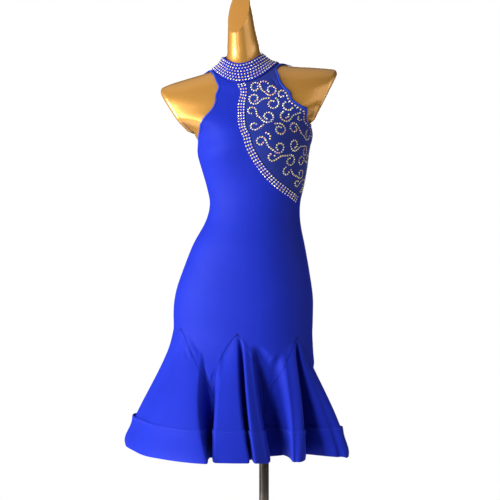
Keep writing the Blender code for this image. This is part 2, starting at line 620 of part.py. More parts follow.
# Rows of the hem band going up: height above the hem, how far out its inner face is, and the share of the lip.
BandRow = namedtuple("BandRow", "height out lip")
BAND_ROWS = [
    BandRow(0.000, 0.0004, -1.10), BandRow(0.007, 0.0, 0.05), BandRow(0.018, 0.0, 0.50), BandRow(0.036, 0.0, 0.20),
    BandRow(BAND_TALL - 0.006, LAP, 0.60), BandRow(BAND_TALL, LAP, 1.0),
]


def hem_band(mat):
    """The stiffened band round the hem, lapping over the godets' lower edges and standing out at its top."""
    outside, inside = [], []
    for row in BAND_ROWS:
        level = HEM + row.height
        folds = fold_angles(level)
        angles = [
            a + (b - a) * k / FOLD_COLUMNS
            for a, b in zip(folds, folds[1:] + [folds[0] + 2 * math.pi]) for k in range(FOLD_COLUMNS)
        ]
        for angle in angles:
            lift = row.out + row.lip * fold_at(angle, level).lip
            inside.append(cloth_point(angle, level, lift))
            outside.append(cloth_point(angle, level, lift + BAND_WALL))
    count = len(angles)
    faces = [
        (r * count + k, r * count + (k + 1) % count, (r + 1) * count + (k + 1) % count, (r + 1) * count + k)
        for r in range(len(BAND_ROWS) - 1) for k in range(count)
    ]
    return doubled("hem_band", outside, inside, faces, mat)


def armhole_binding(name, side, mat):
    edge = armhole_loop(side)
    inside = moved_line(edge, -side * BINDING_WIDTH, closed=True)
    count = len(edge)
    faces = [(k, (k + 1) % count, count + (k + 1) % count, count + k)[::-side] for k in range(count)]
    return shell(name, edge + inside, faces, mat, outer=BINDING_WALL)


COLLAR_TOP = Ring(1.43, -0.0512, 0.0, 1.4255, 0.0494, 0.0490, 0.0545, 0.0, 2.8, -0.0250, 0.027, 0.0)


# how far the collar's wall bends in halfway up: everywhere, more at both sides, and more again at the left one
COLLAR_BOW, COLLAR_SIDE_BOW, COLLAR_LEFT_BOW = 0.0012, 0.0020, 0.0010


def ring_point(ring, angle):
    side, front = math.sin(angle), math.cos(angle)
    x = ring.half_width * side
    rise = ring.front_rise if front > 0 else ring.back_rise
    return Vector((
        ring.x + x, ring.y - (ring.front if front > 0 else ring.back) * front,
        ring.height + rise * front * front + x * math.tan(math.radians(ring.roll)),
    ))


def collar(mat):
    """A stand collar from the neck seam to its top edge, open at the centre back by a seam's gap."""
    shares = (0.0, 0.35, 0.7, 1.0)
    angles = []
    seams = (-BACK_SEAM, -SHOULDER_SEAM, INSET_SEAM[-1].angle, SHOULDER_SEAM, BACK_SEAM)
    for start, end, count in zip(seams, seams[1:], (6, 12, 8, 6)):
        angles += [math.radians(start + (end - start) * k / count) for k in range(count)]
    angles[0] = stepped((angles[0], COLLAR_SEAM), HALF_GAP)[0]
    angles.append(-angles[0])
    outside, inside = [], []
    for share in shares:
        for angle in angles:
            low = cloth_point(angle, COLLAR_SEAM, CLOTH + SEAM_GAP)
            top = ring_point(COLLAR_TOP, angle)
            around = low - cloth_point(angle - 0.01, COLLAR_SEAM, CLOTH + SEAM_GAP)
            up = (top - low).normalized()
            normal = around.cross(up).normalized()
            side = math.sin(angle)
            bow = COLLAR_BOW + COLLAR_SIDE_BOW * side * side + COLLAR_LEFT_BOW * side
            point = low.lerp(top, share) - normal * bow * math.sin(math.pi * share)
            inside.append(point)
            outside.append(point + normal * COLLAR_WALL)
    wide = len(angles)
    faces = [
        (r * wide + c, r * wide + c + 1, (r + 1) * wide + c + 1, (r + 1) * wide + c)
        for r in range(len(shares) - 1) for c in range(wide - 1)
    ]
    return doubled("collar", outside, inside, faces, mat)


def turned_body(name, profile, sides, mat):
    """A solid of revolution about the pole from (radius, height) pairs going up."""
    bm = bmesh.new()
    rings = [
        [bm.verts.new((r * math.cos(2 * math.pi * k / sides), r * math.sin(2 * math.pi * k / sides), z))
         for k in range(sides)]
        for r, z in profile
    ]
    for low, high in zip(rings, rings[1:]):
        for k in range(sides):
            m = (k + 1) % sides
            bm.faces.new((low[k], low[m], high[m], high[k]))
    bm.faces.new(rings[0][::-1])
    bm.faces.new(rings[-1])
    return new_object(name, bm, mat)


# The stand
BASE_RADIUS, BASE_THICK, BASE_ROUND = 0.180, 0.010, 0.003
BOSS_RADIUS, BOSS_TOP = 0.026, 0.040
POLE_RADIUS = 0.0118
FLANGE_RADIUS, FLANGE_THICK = 0.036, 0.008


def stand(mat):
    turned_body("base_plate", [
        (BASE_RADIUS, 0.0), (BASE_RADIUS, BASE_THICK - BASE_ROUND), (BASE_RADIUS - BASE_ROUND, BASE_THICK),
        (BOSS_RADIUS, BASE_THICK + 0.001), (BOSS_RADIUS - 0.006, BASE_THICK + 0.005), (0.017, BOSS_TOP - 0.002),
        (0.015, BOSS_TOP),
    ], 56, mat)
    flange_foot = FORM_FOOT - SEAM_GAP - FLANGE_THICK
    turned_body("pole", [(POLE_RADIUS, BOSS_TOP + SEAM_GAP), (POLE_RADIUS, flange_foot - SEAM_GAP)], 28, mat)
    turned_body("form_flange", [
        (FLANGE_RADIUS - 0.002, flange_foot), (FLANGE_RADIUS, flange_foot + 0.002),
        (FLANGE_RADIUS, flange_foot + FLANGE_THICK),
    ], 32, mat)


def main():
    for obj in list(bpy.data.objects):
        bpy.data.objects.remove(obj)
    gold = material("gold_lacquer", (0.60, 0.33, 0.09), 0.25, 0.6)
    blue = material("royal_blue_stretch", (0.03, 0.06, 0.62), 0.6)
    mesh_blue = material("inset_mesh", (0.02, 0.04, 0.30), 0.75)
    binding_blue = material("binding_blue", (0.10, 0.20, 0.75), 0.5)
    steel = material("bright_steel", (0.55, 0.53, 0.51), 0.25, 1.0)
    front_main(blue)
    front_inset(mesh_blue)
    back_panel("back_left", 1, blue)
    back_panel("back_right", -1, blue)
    collar(blue)
    armhole_binding("armhole_binding_left", 1, binding_blue)
    armhole_binding("armhole_binding_right", -1, binding_blue)
    for number, (before, after) in enumerate(zip(TONGUES, TONGUES[1:] + TONGUES[:1]), start=1):
        godet(f"godet_{number}", before, after, blue)
    hem_band(blue)
    form_body(gold)
    stand(steel)


main()
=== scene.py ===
"""The finished look of a salsa dance dress on a gold dress form.

Metres, +Z up, the front faces -Y and the wearer's left is +X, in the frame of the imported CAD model. The
cloth follows the same surface as the CAD solids. Angles go round the body from the front centre, positive
towards +X. A level names one ring of the body: its height below the armpits, a necklace over the shoulders
above them.
"""

import math
from collections import namedtuple

import bmesh
import bpy
import numpy as np
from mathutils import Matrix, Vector


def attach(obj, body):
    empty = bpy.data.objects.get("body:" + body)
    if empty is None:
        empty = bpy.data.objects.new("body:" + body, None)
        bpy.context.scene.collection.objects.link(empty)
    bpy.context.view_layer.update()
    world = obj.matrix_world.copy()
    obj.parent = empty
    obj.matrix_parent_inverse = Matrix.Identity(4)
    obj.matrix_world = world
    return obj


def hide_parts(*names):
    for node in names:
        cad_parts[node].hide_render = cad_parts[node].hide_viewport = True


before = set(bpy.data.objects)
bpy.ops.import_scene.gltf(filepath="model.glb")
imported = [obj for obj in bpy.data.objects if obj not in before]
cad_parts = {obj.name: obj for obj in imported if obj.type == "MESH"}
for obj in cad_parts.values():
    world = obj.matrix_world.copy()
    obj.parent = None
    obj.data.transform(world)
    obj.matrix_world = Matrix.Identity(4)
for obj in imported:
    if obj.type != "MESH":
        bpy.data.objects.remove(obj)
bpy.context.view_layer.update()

# ---------------------------------------------------------------- the body and the skirt, as in the CAD model
EASE = 0.0020  # between the body and the cloth's inner face
CLOTH = 0.0012
SEAM_GAP = 0.0003
BINDING_WIDTH = 0.0055
BINDING_WALL = 0.0019
COLLAR_WALL = 0.0017
BAND_WALL = 0.0018
BAND_TALL = 0.058

# Each row is one ring of the body. Yaw turns it about the vertical, roll lifts its +X side, both in degrees,
# front_rise and back_rise lift its front and back centres, and square fills out its four corners.
Ring = namedtuple("Ring", "level x y height half_width front back yaw roll front_rise back_rise square")
BODY = [
    Ring(0.700, -0.0520, 0.005, 0.700, 0.1620, 0.100, 0.108, -7.0, -3.5, 0.000, 0.000, 0.04),
    Ring(0.745, -0.0535, 0.005, 0.745, 0.1685, 0.106, 0.115, -7.0, -3.5, 0.000, 0.000, 0.04),
    Ring(0.800, -0.0530, 0.006, 0.800, 0.1698, 0.110, 0.124, -7.0, -3.5, 0.000, 0.000, 0.04),
    Ring(0.845, -0.0492, 0.006, 0.845, 0.1655, 0.111, 0.126, -6.5, -3.2, 0.000, 0.000, 0.04),
    Ring(0.900, -0.0435, 0.004, 0.900, 0.1522, 0.108, 0.116, -6.0, -2.5, 0.000, 0.000, 0.03),
    Ring(0.959, -0.0365, 0.000, 0.959, 0.1351, 0.102, 0.095, -5.0, -1.8, 0.000, 0.000, 0.02),
    Ring(1.018, -0.0265, -0.003, 1.018, 0.1135, 0.087, 0.074, -3.5, -0.8, 0.000, 0.000, 0.02),
    Ring(1.062, -0.0218, -0.004, 1.062, 0.1081, 0.080, 0.068, -2.0, 0.0, 0.000, 0.000, 0.02),
    Ring(1.106, -0.0205, -0.004, 1.106, 0.1165, 0.083, 0.074, -0.5, 1.2, 0.000, 0.000, 0.02),
    Ring(1.150, -0.0222, -0.003, 1.150, 0.1263, 0.092, 0.083, 0.5, 2.6, 0.000, 0.000, 0.02),
    Ring(1.194, -0.0245, -0.001, 1.190, 0.1340, 0.100, 0.090, 2.0, 4.0, 0.000, 0.000, 0.02),
    Ring(1.222, -0.0215, 0.000, 1.225, 0.1400, 0.100, 0.092, 3.0, 5.5, -0.003, -0.003, 0.00),
    Ring(1.240, -0.0285, 0.000, 1.252, 0.1500, 0.099, 0.093, 3.0, 5.0, -0.012, -0.010, 0.00),
    Ring(1.258, -0.0310, 0.000, 1.276, 0.1900, 0.096, 0.094, 3.0, 5.3, -0.020, -0.016, 0.00),
    Ring(1.276, -0.0330, 0.000, 1.297, 0.2300, 0.092, 0.095, 3.0, 5.6, -0.025, -0.018, 0.00),
    Ring(1.294, -0.0350, 0.000, 1.328, 0.2420, 0.087, 0.094, 3.0, 5.6, -0.040, -0.028, 0.00),
    Ring(1.312, -0.0360, 0.000, 1.354, 0.2400, 0.083, 0.092, 3.0, 5.4, -0.050, -0.032, 0.00),
    Ring(1.330, -0.0360, 0.000, 1.371, 0.2080, 0.080, 0.089, 3.0, 5.2, -0.054, -0.028, 0.00),
    Ring(1.346, -0.0380, 0.000, 1.3805, 0.1640, 0.0775, 0.086, 3.0, 5.0, -0.052, -0.018, 0.00),
    Ring(1.362, -0.0410, 0.000, 1.388, 0.1200, 0.0755, 0.080, 3.0, 4.8, -0.048, -0.003, 0.00),
    Ring(1.378, -0.0460, 0.000, 1.398, 0.0755, 0.0700, 0.0705, 3.0, 5.0, -0.046, 0.017, 0.00),
    Ring(1.392, -0.0485, 0.000, 1.412, 0.0545, 0.056, 0.060, 0.0, 5.0, -0.036, 0.020, 0.00),
    Ring(1.410, -0.0498, 0.000, 1.430, 0.0422, 0.047, 0.051, 0.0, 5.0, -0.026, 0.016, 0.00),
    Ring(1.440, -0.0512, -0.002, 1.452, 0.0392, 0.043, 0.046, 0.0, 4.0, -0.012, 0.012, 0.00),
    Ring(1.475, -0.0545, -0.003, 1.487, 0.0345, 0.039, 0.041, 0.0, 2.0, 0.000, 0.000, 0.00),
    Ring(1.510, -0.0575, -0.004, 1.524, 0.0312, 0.037, 0.039, 0.0, 0.0, 0.000, 0.000, 0.00),
    Ring(1.545, -0.0612, -0.005, 1.560, 0.0280, 0.035, 0.037, 0.0, 0.0, 0.000, 0.000, 0.00),
    Ring(1.590, -0.0635, -0.006, 1.612, 0.0262, 0.034, 0.036, 0.0, 0.0, 0.000, 0.000, 0.00),
]
BUST_HEIGHT, BUST_OUT, BUST_APART = 1.200, 0.017, 0.068
BUST_WIDE, BUST_TALL, BUST_BRIDGE = 0.058, 0.050, 0.35
SURFACE_STEP = 0.002  # for slopes: radians or metres of level to either side

SKIRT_TOP = 0.768
HEM = 0.473
HEM_RADIUS = 0.262
FLARE_END = 1.2  # slope of the cloth at the hem, as a share of its mean slope
FLARE_BOW = 0.35  # how early the folds grow
SKIRT_X, SKIRT_Y, SKIRT_YAW = -0.0526, -0.006, -7.0
STACK = 0.0036  # thickness of all the layers at the hem band's top
RIDGE_RADIUS, FURROW_RADIUS = 0.275, 0.215  # hem radii from which a fold counts as a ridge or a full furrow
FURROW_BEGINS = 0.030  # height over which a furrow's cloth moves behind the surface
EASE_FOOT, EASE_TOP = 0.690, 0.745  # heights between which the ease over the body fades in
# Each row is a ridge or a furrow of the skirt: the height where it starts and its angle at the skirt's top,
# its angle and radius at the hem, how much its hem dips, how many degrees it leans under its neighbour at the
# hem, and how far the band's upper edge stands out on it.
Fold = namedtuple("Fold", "start start_angle angle radius dip lean lip")
FOLDS = [
    Fold(0.745, -72.0, -82.0, 0.292, 0.000, 0.0, 0.0055),
    Fold(0.680, -52.0, -55.0, 0.277, 0.000, 0.0, 0.0030),
    Fold(0.740, -40.0, -30.0, 0.288, 0.000, 0.0, 0.0015),
    Fold(0.700, -30.7, -5.0, 0.305, 0.000, 4.7, 0.0012),
    Fold(0.645, -22.5, -0.9, 0.205, 0.002, -4.2, 0.0000),
    Fold(0.690, -8.3, 3.3, 0.287, 0.000, -0.6, 0.0012),
    Fold(0.742, 3.6, 13.2, 0.287, 0.000, 4.3, 0.0015),
    Fold(0.742, 6.4, 17.1, 0.224, 0.002, 2.4, 0.0000),
    Fold(0.742, 9.2, 20.9, 0.286, 0.001, 0.0, 0.0012),
    Fold(0.725, 13.5, 26.6, 0.276, 0.003, 0.0, 0.0012),
    Fold(0.725, 20.5, 32.0, 0.180, 0.003, 5.0, 0.0000),
    Fold(0.700, 34.0, 35.8, 0.180, 0.003, 10.0, 0.0000),
    Fold(0.715, 45.5, 39.5, 0.294, 0.000, -1.6, 0.0015),
    Fold(0.742, 55.3, 44.5, 0.300, 0.000, -3.7, 0.0015),
    Fold(0.742, 58.4, 53.0, 0.212, 0.001, 5.0, 0.0000),
    Fold(0.735, 62.3, 60.5, 0.298, 0.000, 2.2, 0.0020),
    Fold(0.705, 72.5, 68.5, 0.318, 0.000, -4.0, 0.0030),
    Fold(0.680, 86.0, 83.0, 0.218, 0.002, 4.0, 0.0000),
    Fold(0.735, 106.0, 98.0, 0.232, 0.000, 0.0, 0.0010),
    Fold(0.738, 120.0, 114.0, 0.206, 0.001, 2.0, 0.0000),
    Fold(0.735, 136.0, 132.0, 0.264, 0.000, 0.0, 0.0015),
    Fold(0.650, 152.0, 148.0, 0.200, 0.002, 3.0, 0.0000),
    Fold(0.740, 170.0, 160.0, 0.296, 0.000, 0.0, 0.0020),
    Fold(0.742, 181.0, 174.0, 0.208, 0.001, 2.0, 0.0000),
    Fold(0.740, 190.0, 188.0, 0.290, 0.000, 0.0, 0.0020),
    Fold(0.640, 212.0, 210.0, 0.202, 0.002, -4.0, 0.0000),
    Fold(0.740, 238.0, 226.0, 0.296, 0.000, 0.0, 0.0025),
    Fold(0.742, 250.0, 240.0, 0.222, 0.001, -2.0, 0.0000),
    Fold(0.740, 259.0, 253.0, 0.288, 0.000, 0.0, 0.0045),
    Fold(0.660, 268.0, 265.0, 0.276, 0.001, 0.0, 0.0055),
]
BODY_ROWS = np.array(BODY)
FOLD_ROWS = np.array(FOLDS)


def hermite(a, b, slope_a, slope_b, span, t):
    """The cubic from a to b with those end slopes, at t from 0 to 1."""
    t2, t3 = t * t, t * t * t
    return (
        (2 * t3 - 3 * t2 + 1) * a + (t3 - 2 * t2 + t) * span * slope_a
        + (3 * t2 - 2 * t3) * b + (t3 - t2) * span * slope_b
    )


def ring_at(level):
    last = len(BODY_ROWS) - 1
    i = np.clip(np.searchsorted(BODY_ROWS[:, 0], level, side="right") - 1, 0, last - 1)
    before, a = BODY_ROWS[np.maximum(i - 1, 0)], BODY_ROWS[i]
    b, after = BODY_ROWS[i + 1], BODY_ROWS[np.minimum(i + 2, last)]
    span = b[..., :1] - a[..., :1]
    t = (level[..., None] - a[..., :1]) / span
    slope_a = (b - before) / (b[..., :1] - before[..., :1])
    slope_b = (after - a) / (after[..., :1] - a[..., :1])
    return Ring(*np.moveaxis(hermite(a, b, slope_a, slope_b, span, t), -1, 0))


def bust(x, z):
    """How far the bust stands out in front of the chest, bridged in the middle as stretch cloth does it."""
    def bell(offset):
        return np.exp(-((x - offset) / BUST_WIDE) ** 2)
    across = bell(-BUST_APART) + bell(BUST_APART) + BUST_BRIDGE * bell(0)
    return BUST_OUT * across * np.exp(-((z - BUST_HEIGHT) / BUST_TALL) ** 2)


def body_point(angle, level):
    angle, level = np.broadcast_arrays(np.asarray(angle, float), np.asarray(level, float))
    ring = ring_at(level)
    side, front = np.sin(angle), np.cos(angle)
    swell = 1 + ring.square * np.sin(2 * angle) ** 2
    ahead = front > 0
    x = ring.half_width * side * swell
    y = -np.where(ahead, ring.front, ring.back) * front * swell
    rise = np.where(ahead, ring.front_rise, ring.back_rise)
    z = rise * front * front + x * np.tan(np.radians(ring.roll))
    y = y - np.where(ahead, bust(x, ring.height + z), 0.0)
    yaw = np.radians(ring.yaw)
    return np.stack([
        ring.x + x * np.cos(yaw) - y * np.sin(yaw),
        ring.y + x * np.sin(yaw) + y * np.cos(yaw),
        ring.height + z,
    ], axis=-1)


def fold_starts(level):
    """The angle in degrees of every ridge and furrow at each level."""
    down = np.minimum(1.0, (SKIRT_TOP - level) / (SKIRT_TOP - HEM))[..., None]
    return FOLD_ROWS[:, 1] + (FOLD_ROWS[:, 2] - FOLD_ROWS[:, 1]) * down


def fold_at(angle, level):
    """The fold at an angle, easing smoothly from each ridge to the next furrow."""
    starts = fold_starts(level)
    starts = np.concatenate([starts, starts[..., :1] + 360], axis=-1)
    degrees = (np.degrees(angle) - starts[..., 0]) % 360 + starts[..., 0]
    i = np.clip((degrees[..., None] > starts).sum(axis=-1) - 1, 0, len(FOLD_ROWS) - 1)
    a, b = (np.take_along_axis(starts, (i + k)[..., None], axis=-1)[..., 0] for k in (0, 1))
    t = (degrees - a) / (b - a)
    ease = (t * t * (3 - 2 * t))[..., None]
    low, high = FOLD_ROWS[i], FOLD_ROWS[(i + 1) % len(FOLD_ROWS)]
    return Fold(*np.moveaxis(low + (high - low) * ease, -1, 0))


def skirt_point(angle, level):
    fold = fold_at(angle, level)
    grown = np.maximum(0.0, (fold.start - level) / (fold.start - HEM))
    turned = angle + np.radians(SKIRT_YAW + fold.lean * grown)
    outward = np.stack([np.sin(turned), -np.cos(turned), np.zeros_like(turned)], axis=-1)
    top = body_point(angle, SKIRT_TOP)
    slope_top = (body_point(angle, SKIRT_TOP - 0.02) - top) / 0.02
    foot = np.stack([np.full_like(turned, SKIRT_X), np.full_like(turned, SKIRT_Y), HEM - fold.dip], axis=-1)
    hem = foot + outward * HEM_RADIUS
    height = SKIRT_TOP - HEM
    t = ((SKIRT_TOP - level) / height)[..., None]
    point = hermite(top, hem, slope_top, (hem - top) / height * FLARE_END, height, t)
    return point + outward * ((fold.radius - HEM_RADIUS) * grown * (1 + FLARE_BOW * (1 - grown)))[..., None]


def surface_point(angle, level):
    """The surface the cloth follows: the body down to the skirt's top, then out to the folds of the hem."""
    angle, level = np.broadcast_arrays(np.asarray(angle, float), np.asarray(level, float))
    on_body = (level >= SKIRT_TOP)[..., None]
    return np.where(on_body, body_point(angle, level), skirt_point(angle, np.minimum(level, SKIRT_TOP)))


def points_at(nodes):
    """Points of the surface at nodes, each an angle and a level."""
    return surface_point(nodes[..., 0], nodes[..., 1])


def unit(vectors):
    return vectors / np.linalg.norm(vectors, axis=-1, keepdims=True)


def slopes(angle, level, step=SURFACE_STEP):
    """How far the surface goes for a radian round it and for a metre of level."""
    around = (surface_point(angle + step, level) - surface_point(angle - step, level)) / (2 * step)
    up = (surface_point(angle, level + step) - surface_point(angle, level - step)) / (2 * step)
    return around, up


def normal_at(angle, level):
    return unit(np.cross(*slopes(angle, level)))


# ---------------------------------------------------------------- creases, listed one by one
# A crease runs from one angle in degrees and level to another. Depth is how far its middle sinks, or stands
# out where it is negative, width is half its breadth, and bow bends its middle sideways.
CREASE_TAPER = 0.75  # how bluntly a crease ends
RIDGE_SHARE, RIDGE_AWAY, RIDGE_WIDE = 0.45, 1.7, 1.1  # the low ridge beside a trough, in its own sizes
Crease = namedtuple("Crease", "angle_a level_a angle_b level_b depth width bow")
CREASES = [
    # the inset, below the left shoulder
    Crease(34, 1.3665, 25, 1.3440, 0.0016, 0.0030, 0.000),
    Crease(25, 1.3440, 23, 1.3150, 0.0011, 0.0035, 0.000),
    # the bust and the waist
    Crease(-84, 1.170, -62, 1.196, 0.0007, 0.007, 0.004),
    Crease(84, 1.165, 66, 1.190, 0.0007, 0.007, -0.004),
    Crease(-80, 1.080, -40, 1.056, 0.0006, 0.009, 0.006),
    Crease(80, 1.050, 50, 1.072, 0.0007, 0.009, 0.004),
    Crease(-70, 1.020, -28, 1.030, 0.0005, 0.010, -0.005),
    # drag folds where the points of plain cloth meet the godets
    Crease(-41, 0.706, -31, 0.674, 0.0014, 0.0045, 0.001),
    Crease(-34, 0.704, -27, 0.682, 0.0010, 0.0040, 0.000),
    Crease(12, 0.708, 22, 0.680, 0.0013, 0.0045, 0.001),
    Crease(34, 0.706, 28, 0.676, 0.0011, 0.0040, -0.001),
    Crease(95, 0.704, 103, 0.674, 0.0012, 0.0050, 0.001),
    Crease(142, 0.702, 149, 0.672, 0.0012, 0.0050, 0.001),
    Crease(-152, 0.704, -143, 0.676, 0.0012, 0.0050, 0.001),
    # soft ridges down the godets
    Crease(-7.5, 0.706, -6.5, 0.590, -0.0014, 0.0060, 0.001),
    Crease(-66, 0.690, -62, 0.580, -0.0010, 0.0080, 0.002),
    Crease(-172, 0.700, -166, 0.600, -0.0012, 0.0070, 0.002),
    Crease(118, 0.690, 122, 0.590, -0.0010, 0.0080, -0.002),
    # the seat and the back of the waist
    Crease(150, 1.075, 178, 1.052, 0.0008, 0.009, 0.004),
    Crease(-150, 1.068, -178, 1.046, 0.0007, 0.009, -0.004),
    Crease(128, 1.030, 160, 1.012, 0.0006, 0.010, 0.003),
    Crease(-118, 1.028, -152, 1.008, 0.0007, 0.010, 0.004),
]


def crease_offset(angle, level, crease):
    """How much a crease moves the cloth out: a soft trough with a low ridge on its upper side."""
    a = np.array([math.radians(crease.angle_a), crease.level_a])
    b = np.array([math.radians(crease.angle_b), crease.level_b])
    middle = (a + b) / 2
    around, up = slopes(middle[0], middle[1])
    scale = np.array([np.linalg.norm(around), np.linalg.norm(up)])
    turn = np.round((angle - middle[0]) / (2 * math.pi)) * 2 * math.pi
    place = (np.stack([angle - turn, level], axis=-1) - a) * scale
    along = (b - a) * scale
    length = np.linalg.norm(along)
    along = along / length
    t = place @ along / length
    side = place @ np.array([-along[1], along[0]]) - crease.bow * 4 * t * (1 - t)
    inside = np.clip(t, 0.0, 1.0)
    taper = np.sin(math.pi * inside) ** CREASE_TAPER * np.exp(-((t - inside) * length / crease.width) ** 2)
    trough = np.exp(-(side / crease.width) ** 2)
    ridge = RIDGE_SHARE * np.exp(-((side - RIDGE_AWAY * crease.width) / (RIDGE_WIDE * crease.width)) ** 2)
    return -crease.depth * taper * (trough - ridge)


def sunk(angle, level):
    """How far the layers of cloth sit in from the surface: in a furrow they lie behind it."""
    fold = fold_at(angle, np.minimum(level, SKIRT_TOP))
    deep = np.clip((RIDGE_RADIUS - fold.radius) / (RIDGE_RADIUS - FURROW_RADIUS), 0.0, 1.0)
    begun = np.clip((fold.start - level) / FURROW_BEGINS, 0.0, 1.0)
    return STACK * deep * begun


def eased(level):
    """The ease of the cloth over the body, which ends where the skirt leaves it."""
    t = np.clip((level - EASE_FOOT) / (EASE_TOP - EASE_FOOT), 0.0, 1.0)
    return EASE * t * t * (3 - 2 * t)


def relief(angle, level):
    total = np.zeros_like(angle)
    for crease in CREASES:
        total += crease_offset(angle, level, crease)
    return total


def cloth(angle, level, out):
    """Points of the cloth and their normals, out being the height above its inner face."""
    angle, level = np.asarray(angle, float), np.asarray(level, float)
    normal = normal_at(angle, level)
    lift = eased(level) + out + relief(angle, level) - sunk(angle, level)
    return surface_point(angle, level) + normal * np.asarray(lift)[..., None], normal


# ---------------------------------------------------------------- materials
KNIT = 0.00075  # from one rib of the stretch cloth to the next
NET_CELL = 0.0013
WAVE_TURN = 0.314  # scale of a wave texture with bands a metre apart
SHEEN_TINT = (0.30, 0.42, 1.0)
DRESS_BLUE, DRESS_SHADE = (0.0100, 0.023, 0.37), (0.0094, 0.021, 0.345)
EDGE_BLUE, EDGE_SHADE = (0.020, 0.050, 0.46), (0.018, 0.045, 0.42)
NET_HOLE, NET_THREAD = (0.009, 0.018, 0.13), (0.017, 0.034, 0.30)
FORM_GOLD, FORM_SHADE = (0.73, 0.352, 0.073), (0.68, 0.33, 0.067)
CUT_GOLD, CUT_SHADE = (0.42, 0.195, 0.036), (0.39, 0.18, 0.033)
STEEL, SEWING_BLUE = (0.30, 0.25, 0.22), (0.012, 0.030, 0.40)


def set_socket(tree, socket, value):
    """Gives an input a plain value, or links another node's output to it."""
    if isinstance(value, bpy.types.NodeSocket):
        tree.links.new(value, socket)
    elif socket.type == "RGBA":
        socket.default_value = (*value, 1.0)
    else:
        socket.default_value = value


def node(tree, kind, **settings):
    """A new node. A setting named like an input is its value or link, any other one is a property."""
    made = tree.nodes.new(kind)
    for key, value in settings.items():
        socket = made.inputs.get(key.replace("_", " "))
        if socket is None:
            setattr(made, key, value)
        else:
            set_socket(tree, socket, value)
    return made


def base_material(name, colour, roughness, **sockets):
    """A material with one Principled shader. Returns it with its tree and shader."""
    mat = bpy.data.materials.new(name)
    mat.use_nodes = True
    tree, shader = mat.node_tree, mat.node_tree.nodes["Principled BSDF"]
    for key, value in dict(sockets, Base_Color=colour, Roughness=roughness).items():
        set_socket(tree, shader.inputs[key.replace("_", " ")], value)
    mat.diffuse_color = (*colour, 1.0)
    return mat, tree, shader


def on_object(tree):
    return node(tree, "ShaderNodeTexCoord").outputs["Object"]


def on_cut(tree):
    """Places on the flat cut, for the weave."""
    return node(tree, "ShaderNodeUVMap", uv_map="cut").outputs["UV"]


def painted(tree, name, output):
    """Values stored in the mesh itself."""
    return node(tree, "ShaderNodeAttribute", attribute_name=name).outputs[output]


def noise(tree, place, scale, detail):
    return node(tree, "ShaderNodeTexNoise", Vector=place, Scale=scale, Detail=detail).outputs["Fac"]


def mix_colours(tree, factor, a, b):
    """A mix of two colours, each a plain colour or another node's output."""
    mix = node(tree, "ShaderNodeMix", data_type="RGBA")
    for socket, value in ((0, factor), (6, a), (7, b)):
        set_socket(tree, mix.inputs[socket], value)
    return mix.outputs[2]


def ramp(tree, source, low, high):
    """A value stretched so that low becomes 0 and high becomes 1."""
    return node(tree, "ShaderNodeMapRange", Value=source, From_Min=low, From_Max=high).outputs["Result"]


def spread_to(tree, source, low, high):
    """A value from 0 to 1 stretched so that it runs from low to high."""
    return node(tree, "ShaderNodeMapRange", Value=source, To_Min=low, To_Max=high).outputs["Result"]


def raised(tree, shader, height, strength, distance, **options):
    """Gives a shader a relief from a height."""
    bump = node(tree, "ShaderNodeBump", Height=height, Strength=strength, Distance=distance, **options)
    set_socket(tree, shader.inputs["Normal"], bump.outputs["Normal"])


def darker(colour, share):
    return tuple(share * c for c in colour)


def stretch_cloth(name, colour, shade, roughness):
    """Knitted stretch cloth: fine ribs along the cut, slow changes of tone, and painted shade, darker lines
    along the cut edges where the seams dip into grooves.
    """
    mat, tree, shader = base_material(
        name, colour, roughness,
        Sheen_Weight=0.05, Sheen_Roughness=0.35, Sheen_Tint=SHEEN_TINT, Specular_IOR_Level=0.10,
    )
    toned = mix_colours(tree, ramp(tree, noise(tree, on_object(tree), 9.0, 3.0), 0.35, 0.65), colour, shade)
    # painted shade: the colour darkens along the cut edges, standing in for the shadow in the seam grooves
    seam_painted_shade = mix_colours(tree, painted(tree, "border", "Fac"), toned, darker(shade, 0.45))
    set_socket(tree, shader.inputs["Base Color"], seam_painted_shade)
    cut = on_cut(tree)
    knit = node(tree, "ShaderNodeMath", operation="MULTIPLY")
    for socket, bands, pitch, bent in ((0, "X", KNIT, 0.6), (1, "Y", 1.3 * KNIT, 0.8)):
        wave = node(
            tree, "ShaderNodeTexWave",
            bands_direction=bands, Vector=cut, Scale=WAVE_TURN / pitch, Distortion=bent,
        )
        set_socket(tree, knit.inputs[socket], wave.outputs["Fac"])
    raised(tree, shader, knit.outputs["Value"], 0.25, 0.0002)
    return mat


def mesh_cloth(name, hole, thread, roughness):
    """Power mesh over a lining: a small diamond net of thread over darker holes, with painted shade along its
    seams.
    """
    mat, tree, shader = base_material(
        name, thread, roughness, Sheen_Weight=0.15, Sheen_Roughness=0.4, Specular_IOR_Level=0.2
    )
    turned = node(tree, "ShaderNodeMapping", Vector=on_cut(tree), Rotation=(0, 0, math.radians(45)))
    cells = node(
        tree, "ShaderNodeTexVoronoi",
        feature="DISTANCE_TO_EDGE", Vector=turned.outputs["Vector"], Scale=1 / NET_CELL, Randomness=0.15,
    ).outputs["Distance"]
    net = mix_colours(tree, ramp(tree, cells, 0.08, 0.22), thread, hole)
    slow = ramp(tree, noise(tree, on_object(tree), 14.0, 2.0), 0.3, 0.7)
    toned = mix_colours(tree, slow, net, darker(thread, 0.8))
    # painted shade: the colour darkens along the cut edges, standing in for the shadow in the seam grooves
    seam_painted_shade = mix_colours(tree, painted(tree, "border", "Fac"), toned, darker(hole, 0.35))
    set_socket(tree, shader.inputs["Base Color"], seam_painted_shade)
    raised(tree, shader, cells, 0.3, 0.0002, invert=True)
    return mat


